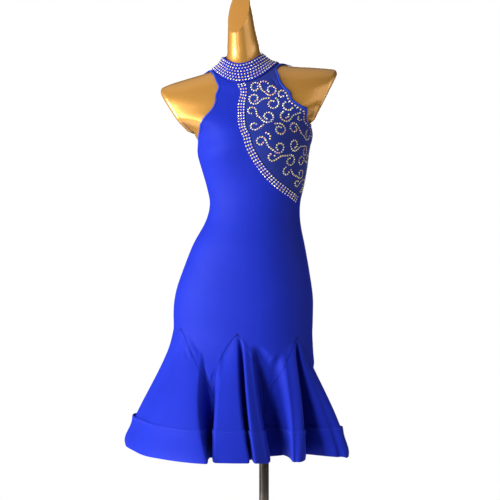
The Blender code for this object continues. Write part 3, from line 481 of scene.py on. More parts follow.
def lacquer(name, colour, shade, roughness, metallic, coat):
    """Pearl lacquer on a moulded form: a fine orange-peel surface with faint handling marks."""
    mat, tree, shader = base_material(
        name, colour, roughness, Metallic=metallic, Coat_Weight=coat, Coat_Roughness=0.12
    )
    place = on_object(tree)
    slow = ramp(tree, noise(tree, place, 5.0, 4.0), 0.35, 0.65)
    set_socket(tree, shader.inputs["Base Color"], mix_colours(tree, slow, colour, shade))
    worn = spread_to(tree, noise(tree, place, 26.0, 6.0), roughness - 0.04, roughness + 0.08)
    set_socket(tree, shader.inputs["Roughness"], worn)
    raised(tree, shader, noise(tree, place, 380.0, 1.0), 0.06, 0.0005)
    return mat


def brushed_steel(name, colour, roughness):
    """Turned steel with fine rings round the pole's axis and a few rubbed places."""
    mat, tree, shader = base_material(name, colour, roughness, Metallic=1.0)
    place = on_object(tree)
    flat = node(tree, "ShaderNodeMapping", Vector=place, Scale=(3.0, 3.0, 900.0))
    rings = noise(tree, flat.outputs["Vector"], 1.0, 3.0)
    worn = spread_to(tree, noise(tree, place, 18.0, 5.0), roughness - 0.05, roughness + 0.12)
    set_socket(tree, shader.inputs["Roughness"], worn)
    tone = mix_colours(tree, ramp(tree, rings, 0.3, 0.7), colour, darker(colour, 0.82))
    set_socket(tree, shader.inputs["Base Color"], tone)
    raised(tree, shader, rings, 0.08, 0.0002)
    return mat


def crystal(name):
    """Foiled crystal with a changing coating: each facet takes its tint and its painted glint, a brightness
    standing in for reflected light, from the mesh's own colours.
    """
    mat, tree, shader = base_material(name, (0.8, 0.75, 0.65), 0.12, Metallic=0.25, Coat_Weight=0.5)
    set_socket(tree, shader.inputs["Base Color"], painted(tree, "tint", "Color"))
    return mat


def thread(name, colour):
    mat, tree, shader = base_material(name, colour, 0.6, Sheen_Weight=0.3)
    twist = node(
        tree, "ShaderNodeTexWave",
        bands_direction="DIAGONAL", Vector=on_object(tree), Scale=900.0, Distortion=1.0,
    )
    tone = mix_colours(tree, twist.outputs["Fac"], colour, darker(colour, 0.6))
    set_socket(tree, shader.inputs["Base Color"], tone)
    return mat


# ---------------------------------------------------------------- sheets of cloth
SEAM_DIP = 0.0007  # how far the cloth sinks at its cut edges
SEAM_DIP_WIDE = 0.0016  # how far from the edge that begins
CUT_ACROSS = 0.13  # metres of cloth for a radian, for the weave's scale
CLOTH_SHARP, FORM_SHARP, STEEL_SHARP = 50, 40, 28  # degrees from which an edge stays sharp
RADIAN_SIZE = 0.1  # the same, for the spacing of a line's nodes


class Sheet:
    """Gathers the nodes and faces of one cut piece, sharing the nodes that are equal."""

    def __init__(self):
        self.nodes, self.faces, self.known = [], [], {}

    def node(self, angle, level):
        key = (round(float(angle), 6), round(float(level), 6))
        if key not in self.known:
            self.known[key] = len(self.nodes)
            self.nodes.append(key)
        return self.known[key]

    def strip(self, low, high):
        low, high = ([self.node(*place) for place in row] for row in (low, high))
        for a, b, c, d in zip(low, low[1:], high[1:], high):
            ring = [k for i, k in enumerate((a, b, c, d)) if k != (a, b, c, d)[i - 1]]
            if len(set(ring)) == len(ring) > 2:
                self.faces.append(tuple(ring))

    def fill(self, rows):
        for low, high in zip(rows, rows[1:]):
            self.strip(low, high)


def new_object(name, mesh, mats):
    for mat in mats:
        mesh.materials.append(mat)
    obj = bpy.data.objects.new(name, mesh)
    bpy.context.scene.collection.objects.link(obj)
    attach(obj, "root")
    return obj


def smooth(mesh, degrees):
    """Shades a mesh smooth, but for the edges that bend more than that."""
    mesh.shade_smooth()
    mesh.set_sharp_from_angle(angle=math.radians(degrees))


def rim_edges(faces):
    """The directed edges that only one face has."""
    edges = set()
    for face in faces:
        edges.update(zip(face, face[1:] + face[:1]))
    return sorted((a, b) for a, b in edges if (b, a) not in edges)


def grid_faces(rows, wide, closed):
    """The faces between rows of nodes, each row's ends joined where it is closed."""
    return [
        (r * wide + k, r * wide + (k + 1) % wide, (r + 1) * wide + (k + 1) % wide, (r + 1) * wide + k)
        for r in range(rows - 1) for k in range(wide if closed else wide - 1)
    ]


def doubled(name, outside, inside, faces, mats, places, border=None):
    """A thin shell from an outer and an inner face with a rim between them. Places are the nodes' angles and
    levels, for the weave, and border is 1 at the nodes of a cut edge."""
    count = len(outside)
    back = [tuple(k + count for k in reversed(face)) for face in faces]
    rim = [(b, a, a + count, b + count) for a, b in rim_edges(faces)]
    mesh = bpy.data.meshes.new(name)
    mesh.from_pydata(np.concatenate([outside, inside]).tolist(), [], list(faces) + back + rim)
    cut = mesh.uv_layers.new(name="cut")
    corners = np.zeros(len(mesh.loops), dtype=np.int32)
    mesh.loops.foreach_get("vertex_index", corners)
    flat = np.stack([places[:, 0] * CUT_ACROSS, places[:, 1]], axis=-1)
    cut.data.foreach_set("uv", flat[corners % count].astype(np.float32).ravel())
    value = np.zeros(2 * count, dtype=np.float32)
    if border is not None:
        value[:count] = border
    # the cloth materials read this border to darken the colour along the seams: painted shade
    mesh.attributes.new("border", "FLOAT", "POINT").data.foreach_set("value", value)
    smooth(mesh, CLOTH_SHARP)
    return new_object(name, mesh, mats)


def shell(name, sheet, mats):
    """A cut piece of cloth on the surface, its edges dipping into the seams."""
    places = np.array(sheet.nodes)
    border = np.zeros(len(places))
    border[sorted({k for edge in rim_edges(sheet.faces) for k in edge})] = 1.0
    wall = CLOTH - SEAM_DIP * border
    outside, normal = cloth(places[:, 0], places[:, 1], wall)
    return doubled(name, outside, outside - normal * wall[:, None], sheet.faces, mats, places, border)


def banded(name, rows, closed, mats, step=1):
    """A thin shell through rows of cloth: each row's inner points, normals, wall, and angles and levels."""
    inside = np.concatenate([point for point, normal, wall, place in rows])
    outside = np.concatenate([point + normal * wall for point, normal, wall, place in rows])
    places = np.concatenate([place for point, normal, wall, place in rows])
    faces = [face[::step] for face in grid_faces(len(rows), len(rows[0][0]), closed)]
    return doubled(name, outside, inside, faces, mats, places)


def finer(line, steps):
    """Adds smooth in-between nodes to a line, steps[k] pieces in its k-th segment."""
    line = np.asarray(line, float)
    apart = np.maximum(np.linalg.norm(np.diff(line * [RADIAN_SIZE, 1.0], axis=0), axis=1), 1e-6)
    s = np.concatenate([[0.0], np.cumsum(apart)])
    result = []
    last = len(line) - 1
    for k in range(last):
        p, q = max(k - 1, 0), min(k + 2, last)
        slope_a = (line[k + 1] - line[p]) / (s[k + 1] - s[p])
        slope_b = (line[q] - line[k]) / (s[q] - s[k])
        for j in range(steps[k]):
            result.append(hermite(line[k], line[k + 1], slope_a, slope_b, apart[k], j / steps[k]))
    return np.array(result + [line[-1]])


def across(left, right, shares):
    return left + (right - left) * np.asarray(shares)[:, None]


def width_of(a, b):
    return float(np.linalg.norm(points_at(a) - points_at(b)))


def edged(columns, width):
    """Even shares with one more close to either end, where the cloth dips into the seam."""
    near = min(SEAM_DIP_WIDE / max(width, 1e-5), 0.4 / columns)
    return np.concatenate([[0.0, near], np.arange(1, columns) / columns, [1 - near, 1.0]])


def moved_line(line, distance, closed=False):
    """Moves a line of nodes along the cloth, square to the line and to its right."""
    line = np.asarray(line, float)
    before, after = np.roll(line, 1, axis=0), np.roll(line, -1, axis=0)
    if not closed:
        before[0], after[-1] = line[0], line[-1]
    around, up = slopes(line[:, 0], line[:, 1], 0.001)
    along = points_at(after) - points_at(before)
    square = unit(np.cross(along, np.cross(around, up))) * distance
    return line + on_cloth(around, up, square)


def on_cloth(around, up, vector):
    """The change of angle and level that moves a node by a vector along the surface."""
    aa, ab, bb = (around * around).sum(-1), (around * up).sum(-1), (up * up).sum(-1)
    qa, qb = (around * vector).sum(-1), (up * vector).sum(-1)
    det = aa * bb - ab * ab
    return np.stack([(qa * bb - qb * ab) / det, (qb * aa - qa * ab) / det], axis=-1)


def stepped(line, distance):
    """Moves nodes round the body at their own level."""
    line = np.array(line, float)
    around, _ = slopes(line[..., 0], line[..., 1], 0.001)
    line[..., 0] += distance / np.linalg.norm(around, axis=-1)
    return line


# ---------------------------------------------------------------- the cut of the dress, as in the CAD model
ArmRow = namedtuple("ArmRow", "level right_front left_front right_back left_back")
ARMHOLES = [
    ArmRow(1.2050, -90.0, 90.0, -90.0, 90.0),
    ArmRow(1.2160, -79.0, 82.0, -98.0, 98.0),
    ArmRow(1.2280, -69.0, 75.0, -107.0, 107.0),
    ArmRow(1.2400, -55.0, 63.0, -119.0, 119.0),
    ArmRow(1.2520, -42.5, 51.0, -130.0, 130.0),
    ArmRow(1.2650, -32.8, 42.5, -137.0, 137.0),
    ArmRow(1.2800, -25.2, 32.2, -141.0, 141.0),
    ArmRow(1.2980, -20.0, 26.2, -142.0, 142.0),
    ArmRow(1.3150, -18.8, 26.0, -140.0, 140.0),
    ArmRow(1.3350, -22.6, 27.4, -134.0, 134.0),
    ArmRow(1.3510, -26.5, 33.4, -122.0, 122.0),
    ArmRow(1.3585, -30.8, 38.8, -113.0, 113.0),
    ArmRow(1.3645, -38.5, 45.0, -104.0, 104.0),
    ArmRow(1.3690, -47.0, 51.0, -94.0, 94.0),
    ArmRow(1.3715, -55.5, 57.0, -83.0, 82.5),
    ArmRow(1.3722, -63.5, 64.5, -72.0, 72.0),
]
SIDE_SEAM, SHOULDER_SEAM, BACK_SEAM = 90.0, 67.0, 180.0
COLLAR_SEAM = 1.3755
InsetRow = namedtuple("InsetRow", "level angle")
INSET_SEAM = [
    InsetRow(1.0700, 89.9), InsetRow(1.0760, 78.0), InsetRow(1.0840, 65.0), InsetRow(1.0920, 53.8),
    InsetRow(1.1010, 43.7), InsetRow(1.1160, 31.4), InsetRow(1.1360, 20.9), InsetRow(1.1600, 12.9),
    InsetRow(1.1850, 7.2), InsetRow(1.2050, 2.0), InsetRow(1.2160, -0.4), InsetRow(1.2280, -1.8),
    InsetRow(1.2400, -2.0), InsetRow(1.2520, -1.8), InsetRow(1.2650, -1.4), InsetRow(1.2800, -1.1),
    InsetRow(1.2980, -0.7), InsetRow(1.3150, -0.2), InsetRow(1.3350, 0.8), InsetRow(1.3510, 2.0),
    InsetRow(1.3585, 2.6), InsetRow(1.3645, 3.2), InsetRow(1.3690, 3.6), InsetRow(1.3715, 3.8),
    InsetRow(1.3722, 3.9), InsetRow(COLLAR_SEAM, 4.0),
]
SIDE_ROWS = 9  # rows of the inset's seam below the armholes' foot
APEX = 0.750  # level of the godets' points
HIP_LEVELS = [APEX, 0.780, 0.815, 0.845, 0.875, 0.905, 0.935, 0.965, 0.995, 1.020, 1.045]
SIDE_LEVELS = [row.level for row in INSET_SEAM[:SIDE_ROWS]] + [ARMHOLES[0].level]
# Each row is a point of plain cloth between two godets: the angles of the godets' apexes beside it, the angle
# and level of its tip, how its two edges bend, and the number of the furrow that the seam below it follows.
Tongue = namedtuple("Tongue", "right_apex left_apex tip tip_level right_power left_power furrow")
TONGUES = [
    Tongue(-110.0, -49.0, -92.0, 0.605, 2.0, 2.0, 29),
    Tongue(-49.0, 6.0, -9.5, 0.600, 1.3, 3.2, 4),
    Tongue(6.0, 58.0, 29.0, 0.565, 2.4, 1.5, 10),
    Tongue(58.0, 120.0, 86.0, 0.600, 2.0, 2.0, 17),
    Tongue(120.0, 180.0, 148.5, 0.585, 1.6, 1.8, 21),
    Tongue(-180.0, -110.0, -148.5, 0.590, 1.8, 1.6, 25),
]
TIP_HALF = 0.25  # degrees from a point's middle to its edges at the tip
TOP_ROW = 0.008  # how far down a point its highest row but one lies, as a share
TIP_TO_FOOT = 0.004  # from a point's tip to the first node of the godets' seam below it
GODET_FOOT = HEM + BAND_TALL - 0.0040
HALF_GAP = SEAM_GAP / 2
BINDING_SEAM = 0.0002
TONGUE_ROWS, TONGUE_COLUMNS = 42, 34
HIP_STEPS, SIDE_STEPS, ARM_STEPS = [8] * len(HIP_LEVELS), [4] * SIDE_ROWS, 4
SHOULDER_ROWS = 2  # rows from the top of an armhole's front edge to the collar
FOOT_ROWS = 16
INSET_COLUMNS = 36
EDGE_BELOW = 0.0002  # how far the inset's outer edge may lie below its seam in a row of nodes
EVENED_TALL = 0.16  # above the apexes, where a panel's columns become evenly spaced
FOLD_COLUMNS = 12  # from a ridge to the next furrow of a godet
BAND_COLUMNS = 22  # and of the hem band
CLEAR_OF_SEAM = 0.04  # radians from a godet's seam to the first fold that gets its own columns
LEAST_SHARE = 0.6  # of a fold's distance from the godet's seam at the foot, kept further up


def nodes_at(angle, levels):
    return [(math.radians(angle), level) for level in levels]


def tongue_lines(tongue):
    """The two edges of a point of plain cloth as lines of nodes going up from its tip."""
    down = np.linspace(1.0, 0.0, TONGUE_ROWS + 1)
    down[-2] = TOP_ROW
    level = APEX + (tongue.tip_level - APEX) * down
    start, end = tongue.tip - TIP_HALF, tongue.tip + TIP_HALF
    right = start + (tongue.right_apex - start) * (1 - down) ** tongue.right_power
    left = end + (tongue.left_apex - end) * (1 - down) ** tongue.left_power
    return np.stack([np.radians(right), level], -1), np.stack([np.radians(left), level], -1)


def foot_line(tongue):
    """The seam of two godets below a point's tip, going up."""
    level = np.linspace(GODET_FOOT, tongue.tip_level - TIP_TO_FOOT, FOOT_ROWS)
    tip = math.radians(tongue.tip)
    foot = math.radians(fold_starts(np.array(GODET_FOOT))[tongue.furrow])
    foot += round((tip - foot) / (2 * math.pi)) * 2 * math.pi
    angle = foot + (tip - foot) * (level - GODET_FOOT) / (tongue.tip_level - GODET_FOOT)
    return np.stack([angle, level], -1)


def tongue_rows(tongue, seam=None, after_seam=True):
    """The rows of a point of plain cloth, or of its part before or after a lengthwise seam, going up."""
    right, left = tongue_lines(tongue)
    right_edge, left_edge = moved_line(right, HALF_GAP), moved_line(left, -HALF_GAP)
    right_edge[-1], left_edge[-1] = right[-1], left[-1]
    if tongue.left_apex == BACK_SEAM:
        left_edge[-1] = stepped(left[-1], -HALF_GAP)
    if tongue.right_apex == -BACK_SEAM:
        right_edge[-1] = stepped(right[-1], HALF_GAP)
    columns = TONGUE_COLUMNS
    if seam is not None:
        columns //= 2
        share = (seam - tongue.right_apex) / (tongue.left_apex - tongue.right_apex)
        middle = right + (left - right) * share
        if after_seam:
            right_edge = stepped(middle, HALF_GAP)
        else:
            left_edge = stepped(middle, -HALF_GAP)
    return [across(a, b, edged(columns, width_of(a, b))) for a, b in zip(right_edge, left_edge)]


def armhole_loop(side):
    """The edge of an armhole: up the front, over the shoulder and down the back, at even steps."""
    front = [(row.left_front if side > 0 else row.right_front, row.level) for row in ARMHOLES]
    back = [(row.left_back if side > 0 else row.right_back, row.level) for row in ARMHOLES[1:]]
    coarse = np.array([(math.radians(angle), level) for angle, level in front + back[::-1]])
    wrapped = np.concatenate([coarse[-3:], coarse, coarse[:3]])
    fine = finer(wrapped, [ARM_STEPS] * (len(wrapped) - 1))
    return fine[3 * ARM_STEPS:(3 + len(coarse)) * ARM_STEPS]


def shoulder_node(loop):
    """Where the shoulder seam meets the edge of the binding."""
    over = loop[(len(ARMHOLES) - 1) * ARM_STEPS:len(ARMHOLES) * ARM_STEPS + 1]
    start, turn = math.degrees(over[0][0]), math.degrees(over[-1][0] - over[0][0])
    return across(over[0], over[-1], [(SHOULDER_SEAM - abs(start)) / abs(turn)])[0]


def armhole_edges(side):
    """The panels' edges along the binding, front then back, going up from the side seam to the shoulder."""
    loop = moved_line(armhole_loop(side), -side * (BINDING_WIDTH + BINDING_SEAM), closed=True)
    count = (len(ARMHOLES) - 1) * ARM_STEPS
    foot, top = loop[:1], [shoulder_node(loop)]
    return [
        np.concatenate([stepped(foot, aside), part, stepped(top, aside)])
        for aside, part in (
            (-side * HALF_GAP, loop[1:count + 1]), (side * HALF_GAP, loop[:count + ARM_STEPS - 1:-1]),
        )
    ]


def straight(angle, levels, distance, steps):
    """A seam that runs straight up the body, moved aside by a distance, without its last node."""
    return finer(stepped(nodes_at(angle, levels), distance), steps)[:-1]


def side_line(angle, distance):
    """A panel's edge at the side or the back, up to the armholes' foot."""
    return straight(angle, HIP_LEVELS + SIDE_LEVELS, distance, HIP_STEPS + SIDE_STEPS)


def collar_node(angle, distance):
    return stepped(nodes_at(angle, [COLLAR_SEAM]), distance)


def panel_rows(low_row, right, left):
    """Rows of a panel above its points, whose columns even out as they go up."""
    low_row = np.asarray(low_row)
    low_shares = (low_row[:, 0] - low_row[0, 0]) / (low_row[-1, 0] - low_row[0, 0])
    rows = []
    for a, b in zip(right, left):
        high = (a[1] + b[1]) / 2
        t = min(1.0, max(0.0, (high - APEX) / EVENED_TALL))
        even = edged(len(low_row) - 3, width_of(a, b))
        rows.append(across(a, b, low_shares + (even - low_shares) * t * t * (3 - 2 * t)))
    return rows


def inset_line(distance):
    """The inset's seam from the side up to the collar: one run to the armhole's level, and one beside it."""
    coarse = np.array([(math.radians(row.angle), row.level) for row in INSET_SEAM])
    steps = SIDE_STEPS + [ARM_STEPS] * (len(ARMHOLES) - 1) + [SHOULDER_ROWS]
    return moved_line(finer(coarse, steps), distance)


def up_the_centre(side):
    """The centre back seam beside the armhole, from the side seam's top to the collar."""
    beside = nodes_at(side * BACK_SEAM, [row.level for row in ARMHOLES])
    line = finer(beside, [ARM_STEPS] * (len(beside) - 1))
    shares = np.arange(1, SHOULDER_ROWS + 1) / SHOULDER_ROWS
    top = across(line[-1], np.array([line[-1][0], COLLAR_SEAM]), shares)
    return stepped(np.concatenate([line, top]), -side * HALF_GAP)


def with_points(*parts):
    """A sheet with a panel's points in it, and the row of nodes along their tops. Each part is a tongue's
    number and, where only a part of it belongs to the panel, the seam and whether the part lies after it."""
    sheet, low = Sheet(), []
    for number, *cut in parts:
        rows = tongue_rows(TONGUES[number], *cut)
        sheet.fill(rows)
        low += list(rows[-1][1:] if low else rows[-1])
    return sheet, low


def front_main(mats):
    sheet, low = with_points((0, -SIDE_SEAM, True), (1,), (2,), (3, SIDE_SEAM, False))
    right = np.concatenate([
        side_line(-SIDE_SEAM, HALF_GAP), armhole_edges(-1)[0], collar_node(-SHOULDER_SEAM, HALF_GAP),
    ])
    hip = straight(SIDE_SEAM, HIP_LEVELS + SIDE_LEVELS[:1], -HALF_GAP, HIP_STEPS)
    left = np.concatenate([hip, inset_line(-HALF_GAP)])
    sheet.fill(panel_rows(low, right, left))
    return shell("front_panel", sheet, mats)


def front_inset(mats):
    seam = inset_line(HALF_GAP)[1:]
    side = straight(SIDE_SEAM, SIDE_LEVELS, -HALF_GAP, SIDE_STEPS)[1:]
    edge = np.concatenate([side, armhole_edges(1)[0], collar_node(SHOULDER_SEAM, -HALF_GAP)])
    edge[:, 1] = np.maximum(edge[:, 1], seam[:, 1] - EDGE_BELOW)
    sheet = Sheet()
    sheet.fill([across(a, b, edged(INSET_COLUMNS, width_of(a, b))) for a, b in zip(seam, edge)])
    return shell("inset_panel", sheet, mats)


def back_panel(name, side, mats):
    left, right = ((3, SIDE_SEAM, True), (4,)), ((5,), (0, -SIDE_SEAM, False))
    sheet, low = with_points(*(left if side > 0 else right))
    outer = np.concatenate([
        side_line(side * SIDE_SEAM, side * HALF_GAP), armhole_edges(side)[1],
        collar_node(side * SHOULDER_SEAM, side * HALF_GAP),
    ])
    centre = np.concatenate([side_line(side * BACK_SEAM, -side * HALF_GAP), up_the_centre(side)])
    sheet.fill(panel_rows(low, *((outer, centre) if side > 0 else (centre, outer))))
    return shell(name, sheet, mats)


def godet_seams(before, after):
    """The seams on a godet's two sides, going up from its foot to its apex."""
    seams = []
    for tongue, edge, distance in (
        (before, tongue_lines(before)[1], HALF_GAP), (after, tongue_lines(after)[0], -HALF_GAP),
    ):
        foot = moved_line(foot_line(tongue), distance)
        seams.append(np.concatenate([foot, moved_line(edge, distance)[:-1]]))
    if after.tip < before.tip:
        seams[1] = seams[1] + [2 * math.pi, 0.0]
    return seams


def godet(name, before, after, mats):
    """A flared insert between two points of plain cloth, its columns following the ridges and furrows."""
    right, left = godet_seams(before, after)
    start, end = right[0, 0], left[0, 0]
    at_foot = np.radians(fold_starts(np.array(GODET_FOOT)))
    at_foot = (at_foot - start) % (2 * math.pi) + start
    own = (at_foot > start + CLEAR_OF_SEAM) & (at_foot < end - CLEAR_OF_SEAM)
    inner = sorted(np.flatnonzero(own), key=lambda k: at_foot[k])
    rows = []
    for a, b in zip(right, left):
        here = np.radians(fold_starts(np.array((a[1] + b[1]) / 2)))
        marks = [0.0]
        for k in inner:
            foot_share = (at_foot[k] - start) / (end - start)
            share = ((here[k] - a[0] + 1.0) % (2 * math.pi) - 1.0) / (b[0] - a[0])
            marks.append(min(max(share, LEAST_SHARE * foot_share), 1 - LEAST_SHARE * (1 - foot_share)))
        marks.append(1.0)
        shares = [
            p + (q - p) * k / FOLD_COLUMNS for p, q in zip(marks, marks[1:]) for k in range(FOLD_COLUMNS)
        ]
        near = min(SEAM_DIP_WIDE / max(width_of(a, b), 1e-5), 0.5 * shares[1])
        rows.append(across(a, b, [0.0, near] + shares[1:] + [1 - near, 1.0]))
    sheet = Sheet()
    sheet.fill(rows)
    return shell(name, sheet, mats)


# Rows of the hem band going up: height above the hem, how far out the inner face is, how much of the fold's
# lip it takes at the top and in the curl at the foot, as shares of the lip, and the share of the band's wall.
BandRow = namedtuple("BandRow", "height out lip curl wall")
BAND_ROWS = [
    BandRow(0.0000, 0.0004, 0.0, -1.10, 0.60), BandRow(0.0008, 0.0, 0.0, -0.95, 0.95),
    BandRow(0.0030, 0.0, 0.0, -0.55, 1.00), BandRow(0.0070, 0.0, 0.0, 0.05, 1.00),
    BandRow(0.0120, 0.0, 0.0, 0.40, 1.00), BandRow(0.0180, 0.0, 0.0, 0.50, 1.00),
    BandRow(0.0250, 0.0, 0.0, 0.40, 1.00), BandRow(0.0330, 0.0, 0.02, 0.22, 1.00),
    BandRow(0.0410, 0.0003, 0.10, 0.10, 1.00), BandRow(0.0460, 0.0008, 0.25, 0.04, 1.00),
    BandRow(0.0500, 0.0012, 0.48, 0.0, 1.00), BandRow(0.0535, 0.0014, 0.72, 0.0, 1.00),
    BandRow(0.0562, 0.0014, 0.90, 0.0, 1.00), BandRow(0.0574, 0.0015, 0.98, 0.0, 0.95),
    BandRow(0.0580, 0.0019, 1.00, 0.0, 0.55),
]


def band_angles(level):
    folds = np.radians(fold_starts(np.array(level)))
    ends = np.append(folds, folds[0] + 2 * math.pi)
    steps = np.arange(BAND_COLUMNS)
    return np.concatenate([a + (b - a) * steps / BAND_COLUMNS for a, b in zip(ends, ends[1:])])


def hem_band(mats):
    """The stiffened band round the hem, its upper edge turned in and standing out on the ridges."""
    rows = []
    for row in BAND_ROWS:
        angle = band_angles(HEM + row.height)
        level = np.full_like(angle, HEM + row.height)
        lift = row.out + fold_at(angle, level).lip * (row.lip + row.curl)
        rows.append((*cloth(angle, level, lift), BAND_WALL * row.wall, np.stack([angle, level], -1)))
    return banded("hem_band_cloth", rows, True, mats)


# Rows across a binding: share of its width from the open edge, and share of its wall.
BindingRow = namedtuple("BindingRow", "share wall")
BINDING_ROWS = [
    BindingRow(0.0, 0.25), BindingRow(0.04, 0.62), BindingRow(0.14, 0.92), BindingRow(0.32, 1.0),
    BindingRow(0.62, 1.0), BindingRow(0.84, 0.95), BindingRow(0.95, 0.72), BindingRow(1.0, 0.35),
]


def armhole_binding(name, side, mats):
    """A folded strip of cloth round an armhole, rounded over its edges."""
    edge = armhole_loop(side)
    rows = []
    for row in BINDING_ROWS:
        line = moved_line(edge, -side * BINDING_WIDTH * row.share, closed=True) if row.share else edge
        rows.append((*cloth(line[:, 0], line[:, 1], 0.0), BINDING_WALL * row.wall, line))
    return banded(name, rows, True, mats, -side)


COLLAR_TOP = Ring(1.43, -0.0512, 0.0, 1.4255, 0.0494, 0.0490, 0.0545, 0.0, 2.8, -0.0250, 0.027, 0.0)
COLLAR_COLUMNS, COLLAR_ROWS = 150, 14
COLLAR_TALL, COLLAR_ACROSS = 0.045, 0.5  # for the weave: its height, and its width as a share of a panel's
COLLAR_RIM = 0.45  # share of the wall at its two edges
# How far the collar's wall bends in halfway up: everywhere, more at its sides, and more again at its left.
COLLAR_BOW, COLLAR_SIDE_BOW, COLLAR_LEFT_BOW = 0.0012, 0.0020, 0.0010


def ring_point(ring, angle):
    side, front = np.sin(angle), np.cos(angle)
    x = ring.half_width * side
    ahead = front > 0
    rise = np.where(ahead, ring.front_rise, ring.back_rise)
    return np.stack([
        ring.x + x, ring.y - np.where(ahead, ring.front, ring.back) * front,
        ring.height + rise * front * front + x * math.tan(math.radians(ring.roll)),
    ], axis=-1)


def collar_at(angle, share):
    """Points of the collar's inner face and their normals, share going up from the neck seam to the top."""
    def foot(turn):
        level = np.full_like(turn, COLLAR_SEAM)
        return surface_point(turn, level) + normal_at(turn, level) * (EASE + CLOTH + SEAM_GAP)
    low, top = foot(angle), ring_point(COLLAR_TOP, angle)
    normal = unit(np.cross(low - foot(angle - 0.01), unit(top - low)))
    side = np.sin(angle)
    bow = COLLAR_BOW + COLLAR_SIDE_BOW * side * side + COLLAR_LEFT_BOW * side
    return low + (top - low) * share[..., None] - normal * (bow * np.sin(math.pi * share))[..., None], normal


def collar_angles(count, distance=HALF_GAP):
    start = stepped(nodes_at(-BACK_SEAM, [COLLAR_SEAM]), distance)[0, 0]
    return np.linspace(start, -start, count)


def collar(mats):
    """The stand collar, open at the centre back by a seam's gap, with a rounded top edge."""
    angle = collar_angles(COLLAR_COLUMNS + 1)
    rows = []
    for share in (0.0, 0.02, *np.linspace(0.06, 0.96, COLLAR_ROWS), 0.985, 1.0):
        wall = COLLAR_WALL * (COLLAR_RIM if share in (0.0, 1.0) else 1.0)
        place = np.stack([angle * COLLAR_ACROSS, np.full_like(angle, COLLAR_SEAM + share * COLLAR_TALL)], -1)
        rows.append((*collar_at(angle, np.full_like(angle, share)), wall, place))
    return banded("collar_cloth", rows, False, mats)


# ---------------------------------------------------------------- the dress form and its stand
Cut = namedtuple("Cut", "point normal")
NECK_CUT = Cut((-0.0620, -0.003, 1.546), (-0.40, -0.80, 0.45))
NECK_FOOT = 1.415  # the neck's cut reaches no lower than this
RIGHT_ARM_CUT = Cut((-0.2395, -0.0279, 1.3150), (-0.81, 0.05, -0.58))
LEFT_ARM_CUT = Cut((0.1555, 0.0, 1.3275), (0.930, 0.120, -0.475))
FORM_FOOT = 0.716
FOOT_CUT = Cut((0.0, 0.0, FORM_FOOT), (0.0, 0.0, -1.0))
ARM_LEVEL = 1.240
SET_BACK = 0.0006  # how far the form lies in from the surface
COVERED, COVER_FADE, DRAWN_IN = 1.235, 0.02, 0.0016  # and how much further where cloth is all round it
RIGHT_ARM_ROOT, LEFT_ARM_ROOT = -0.06, 0.0  # the arms' cuts reach no nearer to the neck
FORM_ANGLES = 144
FORM_STEP = 0.0075
ARM_RIM, NECK_RIM = 0.011, 0.0015  # how far the rims of the cuts are rounded
RIM_STEPS = 6


def form_points(angle, level):
    """Points of the dress form, which sits back a little where the cloth covers it all round."""
    step = SURFACE_STEP
    around = body_point(angle + step, level) - body_point(angle - step, level)
    up = body_point(angle, level + step) - body_point(angle, level - step)
    covered = np.clip((COVERED - level) / COVER_FADE, 0.0, 1.0)
    return body_point(angle, level) - unit(np.cross(around, up)) * (SET_BACK + DRAWN_IN * covered)[..., None]


def cut_round(bm, cut, bend, part=None):
    """Cuts off what lies beyond a plane and closes the body with a flat face whose rim is rounded."""
    verts = set(bm.verts) if part is None else set(part)
    geometry = list(verts)
    geometry += [edge for edge in bm.edges if verts.issuperset(edge.verts)]
    geometry += [face for face in bm.faces if verts.issuperset(face.verts)]
    out = Vector(cut.normal).normalized()
    result = bmesh.ops.bisect_plane(
        bm, geom=geometry, plane_co=Vector(cut.point) - out * bend, plane_no=out, clear_outer=True, dist=1e-5
    )
    rim = [item for item in result["geom_cut"] if isinstance(item, bmesh.types.BMEdge)]
    lid = bmesh.ops.contextual_create(bm, geom=rim)["faces"][0]
    loop = [corner.vert for corner in lid.loops]
    middle = lid.calc_center_median()
    bm.faces.remove(lid)
    starts = [vert.co.copy() for vert in loop]
    for k in range(1, RIM_STEPS + 1 if bend else 1):
        turn = math.pi / 2 * k / RIM_STEPS
        shift = out * bend * math.sin(turn)
        ring = [
            bm.verts.new(start + shift + (middle - start).normalized() * bend * (1 - math.cos(turn)))
            for start in starts
        ]
        for j in range(len(loop)):
            m = (j + 1) % len(loop)
            bm.faces.new((loop[j], loop[m], ring[m], ring[j]))
        loop = ring
    bm.faces.new(loop).material_index = 1


def form_levels():
    levels = []
    for a, b in zip(BODY, BODY[1:]):
        steps = max(1, math.ceil((b.level - a.level) / FORM_STEP))
        levels += [a.level + (b.level - a.level) * k / steps for k in range(steps)]
    return levels + [BODY[-1].level]


